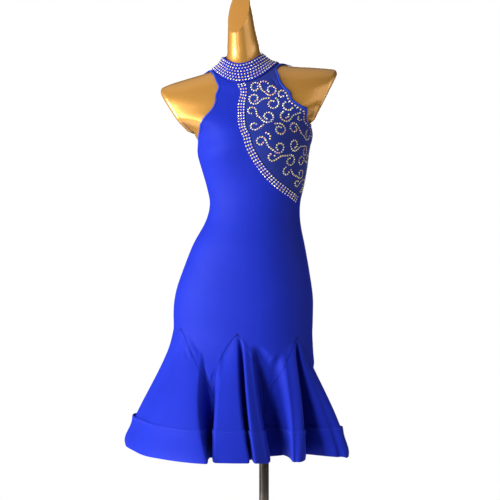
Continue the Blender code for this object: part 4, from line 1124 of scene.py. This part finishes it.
def form_body(mats):
    bm = bmesh.new()
    levels = form_levels()
    angle = 2 * math.pi * np.arange(FORM_ANGLES) / FORM_ANGLES
    rings = [
        [bm.verts.new(point) for point in form_points(angle, np.full_like(angle, level))] for level in levels
    ]
    for low, high in zip(rings, rings[1:]):
        for k in range(FORM_ANGLES):
            m = (k + 1) % FORM_ANGLES
            bm.faces.new((low[k], low[m], high[m], high[k]))
    bm.faces.new(rings[0][::-1])
    bm.faces.new(rings[-1])
    arms = [vert for level, ring in zip(levels, rings) if level > ARM_LEVEL - 0.001 for vert in ring]
    cut_round(bm, RIGHT_ARM_CUT, ARM_RIM, [vert for vert in arms if vert.co.x < RIGHT_ARM_ROOT])
    arms = [vert for vert in arms if vert.is_valid and vert.co.x > LEFT_ARM_ROOT]
    cut_round(bm, LEFT_ARM_CUT, ARM_RIM, arms)
    cut_round(bm, NECK_CUT, NECK_RIM, [vert for vert in bm.verts if vert.co.z > NECK_FOOT])
    cut_round(bm, FOOT_CUT, 0.0)
    bmesh.ops.recalc_face_normals(bm, faces=bm.faces)
    mesh = bpy.data.meshes.new("dress_form_lacquered")
    bm.to_mesh(mesh)
    bm.free()
    smooth(mesh, FORM_SHARP)
    return new_object("dress_form_lacquered", mesh, mats)


def turned_body(name, profile, sides, mats):
    """A body of revolution about the pole from (radius, height) pairs going up."""
    around = 2 * math.pi * np.arange(sides) / sides
    points = [(r * math.cos(a), r * math.sin(a), z) for r, z in profile for a in around]
    faces = grid_faces(len(profile), sides, True)
    faces.append(tuple(range(sides))[::-1])
    faces.append(tuple((len(profile) - 1) * sides + k for k in range(sides)))
    mesh = bpy.data.meshes.new(name)
    mesh.from_pydata(points, [], faces)
    smooth(mesh, STEEL_SHARP)
    return new_object(name, mesh, mats)


BASE_RADIUS, BASE_THICK, BASE_ROUND = 0.180, 0.010, 0.003
BOSS_RADIUS, BOSS_TOP = 0.026, 0.040
POLE_RADIUS = 0.0118
BASE_SIDES, POLE_SIDES, FLOOR_SIDES = 128, 64, 96
FLANGE_RADIUS, FLANGE_THICK = 0.036, 0.008


def rounded(radius, top, bend, count=5):
    """The profile of a rounded outer edge ending at a flat top."""
    turns = [math.pi / 2 * k / count for k in range(count + 1)]
    return [(radius - bend + bend * math.cos(t), top - bend + bend * math.sin(t)) for t in turns]


def stand(mats):
    flange_foot = FORM_FOOT - SEAM_GAP - FLANGE_THICK
    base = turned_body("base_turned", [
        (BASE_RADIUS - 0.001, 0.0), (BASE_RADIUS, 0.001), *rounded(BASE_RADIUS, BASE_THICK, BASE_ROUND),
        (BOSS_RADIUS + 0.002, BASE_THICK + 0.0006), (BOSS_RADIUS, BASE_THICK + 0.0012),
        (BOSS_RADIUS - 0.004, BASE_THICK + 0.003), (BOSS_RADIUS - 0.006, BASE_THICK + 0.006),
        (0.0180, BOSS_TOP - 0.010), *rounded(0.0165, BOSS_TOP, 0.0012), (POLE_RADIUS + 0.0004, BOSS_TOP),
    ], BASE_SIDES, mats)
    pole = turned_body("pole_turned", [
        (POLE_RADIUS, BOSS_TOP + SEAM_GAP), (POLE_RADIUS, flange_foot - SEAM_GAP),
    ], POLE_SIDES, mats)
    flange = turned_body("flange_turned", [
        (FLANGE_RADIUS - 0.002, flange_foot), (FLANGE_RADIUS - 0.0006, flange_foot + 0.0006),
        (FLANGE_RADIUS, flange_foot + 0.002), (FLANGE_RADIUS, flange_foot + FLANGE_THICK),
    ], POLE_SIDES, mats)
    for piece, name in ((base, "base_plate"), (pole, "pole"), (flange, "form_flange")):
        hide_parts(name)


# ---------------------------------------------------------------- crystals and stitches
STONE_RADIUS, STONE_TALL, STONE_SIDES = 0.0023, 0.0012, 10
FOOT_SHARE, GIRDLE_LEVEL, TABLE_SHARE = 0.94, 0.25, 0.56  # of a stone's radius, its height and its radius
STONE_TILT = 0.05  # how unevenly the stones are glued
STONE_PITCH, COLLAR_PITCH, SIDE_PITCH, SCROLL_PITCH = 0.0078, 0.0076, 0.0062, 0.0058
SEAM_CLEAR, SIDE_CLEAR, SCROLL_CLEAR = 0.0043, 0.0044, 0.0045  # least distances from stone to stone
BAND_ROW_PLACES = (0.0036, 0.0098, 0.0160)  # metres from the inset's seam to each row of crystals
BAND_ENDS = slice(6, -1)  # the part of the seam's nodes that has crystals beside it
SIDE_ROW_PLACES = (0.0045, 0.0130, 0.0220, 0.0310)  # metres from the side seam to each row
SIDE_FOOT, SIDE_TOP = 1.090, 1.196  # levels where the rows at the side seam end
SIDE_NODES, COLLAR_NODES = 60, 400  # nodes of the lines that the stones are spread along
ARM_ROW_PLACE, ARM_ROW_ENDS = 0.0032, slice(4, 34)  # the row beside the armhole, and its part of the edge
COLLAR_ROW_SHARES = np.linspace(0.11, 0.88, 6)
COLLAR_END = 0.004  # from the collar's ends to its first crystals
FACET_PAINTED_LIGHT, TABLE_PAINTED_HIGHLIGHT = (0.30, 1.0), (0.85, 1.0)  # painted glints: brightness of a stone's sides, lit or shaded at random, and the painted highlight of its flat top
# Tints of a crystal's coating, and how often each comes.
Tint = namedtuple("Tint", "colour share")
TINTS = [
    Tint((0.95, 0.88, 0.70), 5), Tint((0.95, 0.78, 0.34), 4), Tint((0.93, 0.50, 0.50), 2),
    Tint((0.62, 0.55, 0.90), 1), Tint((0.85, 0.92, 0.62), 1),
]
STITCH_PITCH = 0.0034
STITCH_SIZE = (0.0024, 0.00045, 0.00030)
BAND_STITCH_ROW, BINDING_STITCH_ROW = 11, 4  # rows of the band and the bindings that carry the stitches


def stone_shape():
    """Vertices and faces of one round crystal, of radius and height 1, standing on the origin."""
    n = STONE_SIDES
    around = 2 * math.pi * np.arange(n) / n
    half = math.pi / n
    points = [(FOOT_SHARE * math.cos(a), FOOT_SHARE * math.sin(a), 0.0) for a in around]
    points += [(math.cos(a), math.sin(a), GIRDLE_LEVEL) for a in around]
    points += [(TABLE_SHARE * math.cos(a + half), TABLE_SHARE * math.sin(a + half), 1.0) for a in around]
    faces = [tuple(range(n))[::-1], tuple(range(2 * n, 3 * n))]
    for k in range(n):
        m = (k + 1) % n
        faces += [(k, m, n + m, n + k), (n + k, n + m, 2 * n + k), (n + m, 2 * n + m, 2 * n + k)]
    return np.array(points), faces


def scatter(name, shape, centres, normals, alongs, sizes, mat):
    """One mesh with a copy of a shape at every centre, standing on its normal and turned to its direction."""
    points, faces = shape
    normals = unit(normals)
    sideways = unit(np.cross(normals, alongs))
    ways = (np.cross(sideways, normals), sideways, normals)
    verts = centres[:, None] + sum(
        points[None, :, k:k + 1] * sizes[k] * ways[k][:, None] for k in range(3)
    )
    count = len(points)
    every = [tuple(k + copy * count for k in face) for copy in range(len(centres)) for face in faces]
    mesh = bpy.data.meshes.new(name)
    mesh.from_pydata(verts.reshape(-1, 3).tolist(), [], every)
    return new_object(name, mesh, [mat])


def stones(name, centres, normals, mat, seed):
    """Faceted crystals glued to the cloth, each with its own tint and each facet with its own painted
    brightness, which stands in for the glints of reflected light.
    """
    rng = np.random.default_rng(seed)
    turns = rng.normal(size=centres.shape)
    shape = stone_shape()
    tilted = normals + STONE_TILT * rng.normal(size=normals.shape)
    obj = scatter(name, shape, centres, tilted, turns, (STONE_RADIUS, STONE_RADIUS, STONE_TALL), mat)
    tints = np.array([tint.colour for tint in TINTS])
    shares = np.array([tint.share for tint in TINTS], float)
    chosen = tints[rng.choice(len(tints), len(centres), p=shares / shares.sum())]
    facets = len(shape[1])
    # painted light: each side facet is brightened or darkened at random and the flat top made brightest,
    # standing in for glints and reflections
    light = rng.uniform(*FACET_PAINTED_LIGHT, (len(centres), facets))
    light[:, 1] = rng.uniform(*TABLE_PAINTED_HIGHLIGHT, len(centres))
    colours = np.ones((len(centres), facets, 4))
    colours[..., :3] = chosen[:, None] * light[..., None]
    # the tint attribute holds the coating's tint times these painted glints
    tint = obj.data.color_attributes.new("tint", "FLOAT_COLOR", "CORNER")
    per_corner = np.repeat(colours.reshape(-1, 4), [len(face) for face in shape[1]] * len(centres), axis=0)
    tint.data.foreach_set("color", per_corner.astype(np.float32).ravel())
    return obj


def stones_at(name, places, mat, seed):
    """Crystals on the cloth at nodes of it."""
    return stones(name, *cloth(places[:, 0], places[:, 1], CLOTH), mat, seed)


def even_along(points, pitch):
    """Parameters along a polyline at an even pitch."""
    apart = np.linalg.norm(np.diff(points, axis=0), axis=1)
    s = np.concatenate([[0.0], np.cumsum(apart)])
    count = max(1, round(s[-1] / pitch))
    return np.interp(np.linspace(0, s[-1], count + 1), s, np.arange(len(points)))


def between(line, where):
    """The places on a line at fractional numbers of its nodes."""
    index = np.arange(len(line))
    return np.stack([np.interp(where, index, column) for column in line.T], axis=-1)


def stone_row(line, pitch=STONE_PITCH):
    """Nodes of stones along a line of nodes at an even pitch."""
    return between(line, even_along(points_at(line), pitch))


def thinned(rows, clear):
    """Joins rows of nodes, leaving out each one that comes too close to one before it."""
    kept, result = [], []
    for row in rows:
        for place, point in zip(row, points_at(row)):
            if all(np.linalg.norm(point - other) > clear for other in kept):
                kept.append(point)
                result.append(place)
    return np.array(result), kept


def seam_stones(mat):
    """Three rows of crystals on the plain cloth beside the inset's seam, level with one another."""
    lines = [moved_line(inset_line(0.0), -place)[BAND_ENDS] for place in BAND_ROW_PLACES]
    where = even_along(points_at(lines[1]), STONE_PITCH)
    places, _ = thinned([between(line, where) for line in lines], SEAM_CLEAR)
    return stones_at("seam_crystals", places, mat, seed=11)


def side_stones(mat):
    """Four rows of crystals on the inset along the side seam, and one that turns on along the armhole."""
    levels = np.linspace(SIDE_FOOT, SIDE_TOP, SIDE_NODES)
    side = np.stack([np.full_like(levels, math.radians(SIDE_SEAM)), levels], -1)
    rows = [stone_row(stepped(side, -place), SIDE_PITCH) for place in SIDE_ROW_PLACES]
    beside = moved_line(armhole_edges(1)[0], -ARM_ROW_PLACE)[ARM_ROW_ENDS]
    places, _ = thinned(rows + [stone_row(beside)], SIDE_CLEAR)
    return places, stones_at("side_crystals", places, mat, seed=12)


def collar_stones(mat):
    """Six rows of crystals round the collar."""
    angle = collar_angles(COLLAR_NODES, COLLAR_END)
    points, normals = [], []
    for share in COLLAR_ROW_SHARES:
        line, _ = collar_at(angle, np.full_like(angle, share))
        spot = np.interp(even_along(line, COLLAR_PITCH), np.arange(len(angle)), angle)
        point, normal = collar_at(spot, np.full_like(spot, share))
        points.append(point + normal * COLLAR_WALL)
        normals.append(normal)
    return stones("collar_crystals", np.concatenate(points), np.concatenate(normals), mat, seed=13)


# Scrolls of crystals on the inset, in this dress's own order. Each runs out of one curl and into the next,
# and a curl's centre is at a share of the way across the inset from its seam and at a level. Radius is the
# curl's outer radius, turns how far the line goes round it, and hand 1 a first curl that is left
# anticlockwise. A same of 1 curls the second one the same way, which makes a C, and 0 the other way, an S.
Scroll = namedtuple(
    "Scroll", "share level radius turns next_share next_level next_radius next_turns hand same"
)
SCROLLS = [
    Scroll(0.26, 1.3530, 0.0115, 1.00, 0.66, 1.3350, 0.0135, 1.05, -1, 0),
    Scroll(0.21, 1.3160, 0.0130, 1.05, 0.60, 1.2960, 0.0155, 1.15, 1, 0),
    Scroll(0.86, 1.3140, 0.0095, 0.80, 0.85, 1.2840, 0.0130, 1.00, -1, 1),
    Scroll(0.13, 1.2820, 0.0100, 0.70, 0.34, 1.2610, 0.0150, 1.15, -1, 0),
    Scroll(0.64, 1.2600, 0.0140, 1.10, 0.90, 1.2500, 0.0110, 0.90, 1, 0),
    Scroll(0.12, 1.2400, 0.0095, 0.70, 0.41, 1.2270, 0.0150, 1.15, 1, 0),
    Scroll(0.63, 1.2270, 0.0125, 1.00, 0.85, 1.2150, 0.0135, 1.05, -1, 0),
    Scroll(0.11, 1.2060, 0.0110, 0.85, 0.30, 1.1900, 0.0135, 1.05, -1, 0),
    Scroll(0.52, 1.1960, 0.0135, 1.05, 0.74, 1.1840, 0.0120, 1.00, 1, 0),
    Scroll(0.17, 1.1690, 0.0095, 0.75, 0.42, 1.1600, 0.0135, 1.05, 1, 0),
    Scroll(0.66, 1.1580, 0.0110, 0.90, 0.88, 1.1660, 0.0100, 0.85, -1, 0),
    Scroll(0.30, 1.1340, 0.0105, 0.85, 0.64, 1.1290, 0.0110, 0.95, -1, 0),
    Scroll(0.46, 1.1080, 0.0075, 0.70, 0.78, 1.1110, 0.0070, 0.70, 1, 0),
]
# Short arcs that fill the gaps between the scrolls. Heading is the way each sets off, in degrees from across.
Arc = namedtuple("Arc", "share level radius turns heading hand")
ARCS = [
    Arc(0.44, 1.3640, 0.0110, 0.40, 20, -1), Arc(0.90, 1.3440, 0.0110, 0.35, 120, 1),
    Arc(0.86, 1.3310, 0.0120, 0.35, 215, 1), Arc(0.10, 1.3400, 0.0120, 0.30, 260, 1),
    Arc(0.40, 1.3240, 0.0120, 0.35, 30, -1), Arc(0.12, 1.3020, 0.0120, 0.28, 290, 1),
    Arc(0.36, 1.2860, 0.0110, 0.35, 350, 1), Arc(0.66, 1.2800, 0.0120, 0.33, 200, -1),
    Arc(0.52, 1.2430, 0.0110, 0.35, 250, 1), Arc(0.27, 1.2440, 0.0120, 0.30, 100, -1),
    Arc(0.57, 1.2100, 0.0110, 0.32, 330, 1), Arc(0.20, 1.2220, 0.0110, 0.30, 350, -1),
    Arc(0.42, 1.2050, 0.0110, 0.30, 220, 1), Arc(0.38, 1.1770, 0.0110, 0.32, 300, 1),
    Arc(0.58, 1.1740, 0.0110, 0.33, 240, -1), Arc(0.22, 1.1500, 0.0110, 0.30, 10, -1),
    Arc(0.54, 1.1450, 0.0110, 0.32, 260, 1), Arc(0.47, 1.1200, 0.0100, 0.30, 340, 1),
]
CURL_STEPS, STEM_STEPS = 60, 12
CURL_IN, CURL_STARTS = 0.58, 1.2  # share of the radius lost in a turn, and the radians before it begins
STEM_BOW = 0.13  # of a scroll's stem to one side, for a metre of it
FIGURE_GAP = 0.0076  # from a scroll to its neighbours
LEAST_STONES = 4  # in a figure that is kept
INSET_TOP_OF_SIDE = 1.195  # level where the inset's outer edge turns from the side seam to the armhole


def curl(radius, turns):
    """Steps and bends of a line that circles into a curl, its radius shrinking on the way in."""
    turned = np.linspace(0.0, turns * 2 * math.pi, CURL_STEPS)
    reach = radius * (1.0 - CURL_IN * np.maximum(0.0, turned - CURL_STARTS) / (2 * math.pi))
    return reach[1:] * np.diff(turned), np.diff(turned)


def traced(way, steps):
    """Points of a line that goes a step in each way."""
    return np.cumsum(np.stack([np.cos(way), np.sin(way)], -1) * steps[:, None], axis=0)


def scroll_line(apart, angle, scroll):
    """A scroll as offsets from its first curl's centre, with the second centre at a distance and an angle."""
    far_hand = scroll.hand if scroll.same else -scroll.hand
    tilt = scroll.hand * scroll.radius - far_hand * scroll.next_radius
    heading = angle + math.asin(max(-0.98, min(0.98, tilt / apart)))
    stem = math.sqrt(max(apart * apart - tilt * tilt, 1e-8))
    in_steps, in_bends = curl(scroll.radius, scroll.turns)
    out_steps, out_bends = curl(scroll.next_radius, scroll.next_turns)
    steps = np.concatenate([in_steps[::-1], np.full(STEM_STEPS, stem / STEM_STEPS), out_steps])
    bends = np.concatenate([in_bends[::-1] * scroll.hand, np.zeros(STEM_STEPS), out_bends * far_hand])
    way = np.cumsum(bends)
    way += heading - way[len(in_bends)]
    line = np.concatenate([np.zeros((1, 2)), traced(way, steps)])
    share = np.linspace(0.0, 1.0, STEM_STEPS + 1)[:, None]
    sideways = np.array([-math.sin(heading), math.cos(heading)]) * scroll.hand
    foot = len(in_steps)
    line[foot:foot + STEM_STEPS + 1] += STEM_BOW * stem * np.sin(math.pi * share) ** 2 * sideways
    return line - line[foot] - sideways * scroll.radius


def inset_node(share, level):
    """The node at a share of the way from the inset's seam to its outer edge."""
    side = nodes_at(SIDE_SEAM, [INSET_SEAM[0].level, INSET_TOP_OF_SIDE])
    edge = np.concatenate([side, armhole_edges(1)[0]])
    a, b = (np.interp(level, line[:, 1], line[:, 0]) for line in (inset_line(0.0), edge))
    return np.array([a + (b - a) * share, level])


def laid_flat(middle, offsets):
    """Nodes of the cloth that lie at flat offsets from a node, and the directions across and up there."""
    around, up = slopes(*middle)
    ways = np.stack([unit(around), unit(np.cross(np.cross(around, up), around))])
    wanted = offsets @ ways
    origin = points_at(middle)
    line = middle + on_cloth(around, up, wanted)
    for _ in range(4):
        around, up = slopes(line[:, 0], line[:, 1])
        line = line + on_cloth(around, up, wanted - (points_at(line) - origin))
    return line, ways


def scroll_row(scroll):
    """Nodes of the stones of one scroll."""
    start, end = inset_node(scroll.share, scroll.level), inset_node(scroll.next_share, scroll.next_level)
    middle = (start + end) / 2
    _, ways = laid_flat(middle, np.zeros((1, 2)))
    first, second = (points_at(np.array([start, end])) - points_at(middle)) @ ways.T
    gap = second - first
    offsets = scroll_line(float(np.hypot(*gap)), math.atan2(gap[1], gap[0]), scroll) + first
    return stone_row(laid_flat(middle, offsets)[0], SCROLL_PITCH)


def arc_row(arc):
    """Nodes of the stones of one short arc."""
    steps, bends = curl(arc.radius, arc.turns)
    way = math.radians(arc.heading) + np.cumsum(bends) * arc.hand
    return stone_row(laid_flat(inset_node(arc.share, arc.level), traced(way, steps))[0], SCROLL_PITCH)


def scroll_stones(mat, known):
    """The scrolls and arcs, without the stones that would touch another figure or the rows already there."""
    kept, places = points_at(known), []
    for row in [scroll_row(scroll) for scroll in SCROLLS] + [arc_row(arc) for arc in ARCS]:
        spots = points_at(row)
        clear = np.array([np.linalg.norm(kept - spot, axis=-1).min() > FIGURE_GAP for spot in spots])
        row, own = thinned([row[clear]], SCROLL_CLEAR)
        if len(row) >= LEAST_STONES:
            places.append(row)
            kept = np.concatenate([kept, own])
    return stones_at("scroll_crystals", np.concatenate(places), mat, seed=14)


def stitch_shape():
    """One stitch lying along x: a short rounded bar, of unit length, width and height."""
    profile = [(-0.5, 0.25), (-0.36, 0.85), (0.0, 1.0), (0.36, 0.85), (0.5, 0.25)]
    across_bar = [(-0.5, 0.0), (-0.3, 0.8), (0.3, 0.8), (0.5, 0.0)]
    points = [(x, y * tall, z * tall) for x, tall in profile for y, z in across_bar]
    faces = [face[::-1] for face in grid_faces(len(profile), 4, True)]
    faces += [(3, 2, 1, 0), tuple(4 * (len(profile) - 1) + k for k in range(4))]
    return np.array(points), faces


def outer_row(obj, row, rows):
    """Points and normals of one of the rows of an object's outer face, which come first in its mesh."""
    count = len(obj.data.vertices) // (2 * rows)
    verts = obj.data.vertices[row * count:(row + 1) * count]
    return np.array([vert.co for vert in verts]), np.array([vert.normal for vert in verts])


def stitches(name, obj, row, rows, mat):
    """Stitches along one of the rows of a closed strip of cloth."""
    points, normals = (np.concatenate([line, line[:1]]) for line in outer_row(obj, row, rows))
    where = even_along(points, STITCH_PITCH)[:-1]
    spots, ways = between(points, where), between(normals, where)
    along = np.roll(spots, -1, axis=0) - np.roll(spots, 1, axis=0)
    return scatter(name, stitch_shape(), spots, ways, along, STITCH_SIZE, mat)


# ---------------------------------------------------------------- light, floor and camera
AIM = Vector((0.0, 0.0, 0.949))
LIT_POINT = Vector((-0.03, 0.0, 0.95))
CAMERA_AZIMUTH = math.radians(7.0)
CAMERA_AWAY = 3.2
SENSOR = 36.0
FRAME_TALL = 1.225  # metres that the frame spans at the dress
POLE_SHIFT = -14 / 500  # the pole stands 14 of the frame's 500 pixels right of its middle
WORLD_LIGHT = 0.03
FLOOR_RADIUS, FLOOR_DROP = 1.6, 0.0005
# Each row is an area light aimed at the dress. Azimuth is in degrees from the camera's side, negative to its
# left, power in watts. A light that isn't reflected is soft on the cloth and leaves no glare on the lacquer.
Softbox = namedtuple("Softbox", "name azimuth away height width tall power reflected")
SOFTBOXES = [
    Softbox("key", -70, 3.0, 1.15, 1.1, 1.7, 135, True),
    Softbox("front", -42, 3.0, 1.70, 0.9, 1.2, 78, False),
    Softbox("strip", -36, 3.2, 1.50, 0.18, 2.0, 8, True),
    Softbox("fill", 84, 3.0, 1.30, 1.6, 2.2, 22, True),
    Softbox("bounce", 50, 3.0, 2.30, 2.6, 1.4, 16, True),
    Softbox("ceiling", 180, 0.6, 3.60, 3.4, 2.6, 10, True),
    Softbox("back", 172, 2.8, 1.8, 1.4, 1.4, 20, True),
]


def placed(name, data, spot, target):
    """An object in the scene that looks from a spot at a target."""
    obj = bpy.data.objects.new(name, data)
    obj.location = spot
    obj.rotation_euler = (target - spot).to_track_quat("-Z", "Y").to_euler()
    bpy.context.scene.collection.objects.link(obj)
    return obj


def camera():
    data = bpy.data.cameras.new("camera")
    data.sensor_width = SENSOR
    data.lens = SENSOR * CAMERA_AWAY / FRAME_TALL
    data.shift_x = POLE_SHIFT
    away = Vector((math.sin(CAMERA_AZIMUTH), -math.cos(CAMERA_AZIMUTH), 0.0))
    bpy.context.scene.camera = placed("camera", data, AIM + away * CAMERA_AWAY, AIM)


def softbox(light):
    data = bpy.data.lights.new(light.name, "AREA")
    data.shape = "RECTANGLE"
    data.size, data.size_y = light.width, light.tall
    data.energy = light.power
    turn = CAMERA_AZIMUTH + math.radians(light.azimuth)
    spot = Vector((math.sin(turn) * light.away, -math.cos(turn) * light.away, light.height))
    placed(light.name, data, spot, LIT_POINT).visible_glossy = light.reflected


def studio():
    """White to the camera, with little light of its own, and the softboxes."""
    bpy.context.scene.view_settings.view_transform = "Standard"
    world = bpy.data.worlds.new("studio")
    bpy.context.scene.world = world
    world.use_nodes = True
    tree = world.node_tree
    white = (1.0, 1.0, 1.0)
    lit = tree.nodes["Background"]
    set_socket(tree, lit.inputs["Color"], white)
    set_socket(tree, lit.inputs["Strength"], WORLD_LIGHT)
    seen = node(tree, "ShaderNodeBackground", Color=white, Strength=1.0)
    mix = node(tree, "ShaderNodeMixShader", Fac=node(tree, "ShaderNodeLightPath").outputs["Is Camera Ray"])
    for socket, source in ((mix.inputs[1], lit.outputs[0]), (mix.inputs[2], seen.outputs[0])):
        set_socket(tree, socket, source)
    set_socket(tree, tree.nodes["World Output"].inputs["Surface"], mix.outputs[0])
    for light in SOFTBOXES:
        softbox(light)


def floor():
    mesh = bpy.data.meshes.new("floor")
    around = 2 * math.pi * np.arange(FLOOR_SIDES) / FLOOR_SIDES
    points = [(FLOOR_RADIUS * math.cos(a), FLOOR_RADIUS * math.sin(a), -FLOOR_DROP) for a in around]
    mesh.from_pydata(points, [], [tuple(range(FLOOR_SIDES))])
    mat, tree, shader = base_material("floor_paint", (0.86, 0.86, 0.86), 0.6)
    slow = noise(tree, on_object(tree), 3.0, 4.0)
    tone = mix_colours(tree, slow, (0.88, 0.88, 0.88), (0.84, 0.84, 0.84))
    set_socket(tree, shader.inputs["Base Color"], tone)
    mesh.materials.append(mat)
    obj = bpy.data.objects.new("floor", mesh)
    bpy.context.scene.collection.objects.link(obj)


# ---------------------------------------------------------------- the whole
# Each sheet's cut: its width and length in metres, and its area in square metres, as none is a rectangle.
Cutting = namedtuple("Cutting", "width length area")


def main():
    blue = stretch_cloth("royal_blue_stretch", DRESS_BLUE, DRESS_SHADE, roughness=0.62)
    net = mesh_cloth("inset_net", NET_HOLE, NET_THREAD, roughness=0.75)
    edge_blue = stretch_cloth("binding_blue_fold", EDGE_BLUE, EDGE_SHADE, roughness=0.5)
    gold = lacquer("gold_pearl_lacquer", FORM_GOLD, FORM_SHADE, roughness=0.34, metallic=0.55, coat=0.6)
    cut_gold = lacquer("gold_cut_face", CUT_GOLD, CUT_SHADE, roughness=0.5, metallic=0.2, coat=0.2)
    steel = brushed_steel("turned_steel", STEEL, roughness=0.16)
    glass = crystal("coated_crystal")
    sewing = thread("sewing_thread", SEWING_BLUE)

    front = front_main([blue])
    inset = front_inset([net])
    back_l = back_panel("back_panel_left", 1, [blue])
    back_r = back_panel("back_panel_right", -1, [blue])
    neck = collar([blue])
    bind_l = armhole_binding("armhole_edge_left", 1, [edge_blue])
    bind_r = armhole_binding("armhole_edge_right", -1, [edge_blue])
    flares = [
        godet(f"godet_cloth_{k}", before, after, [blue])
        for k, (before, after) in enumerate(zip(TONGUES, TONGUES[1:] + TONGUES[:1]), start=1)
    ]
    band = hem_band([blue])
    form = form_body([gold, cut_gold])
    stand([steel])
    on_seam = seam_stones(glass)
    side_places, on_side = side_stones(glass)
    on_collar = collar_stones(glass)
    on_inset = scroll_stones(glass, side_places)
    sewn_band = stitches("band_stitches", band, BAND_STITCH_ROW, len(BAND_ROWS), sewing)
    sewn_l, sewn_r = (
        stitches(f"armhole_stitches_{side}", edge, BINDING_STITCH_ROW, len(BINDING_ROWS), sewing)
        for side, edge in (("left", bind_l), ("right", bind_r))
    )

    for piece, name, slot in (
        (front, "front_main", "dress_blue"), (inset, "front_inset", "inset_navy"),
        (back_l, "back_left", "dress_blue"), (back_r, "back_right", "dress_blue"),
        (neck, "collar", "dress_blue"), (bind_l, "armhole_binding_left", "binding_blue"),
        (bind_r, "armhole_binding_right", "binding_blue"),
        *((flare, f"godet_{k}", "dress_blue") for k, flare in enumerate(flares, start=1)),
        (band, "hem_band", "dress_blue"), (form, "dress_form", "form_gold"),
    ):
        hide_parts(name)
    studio()
    floor()
    camera()


main()
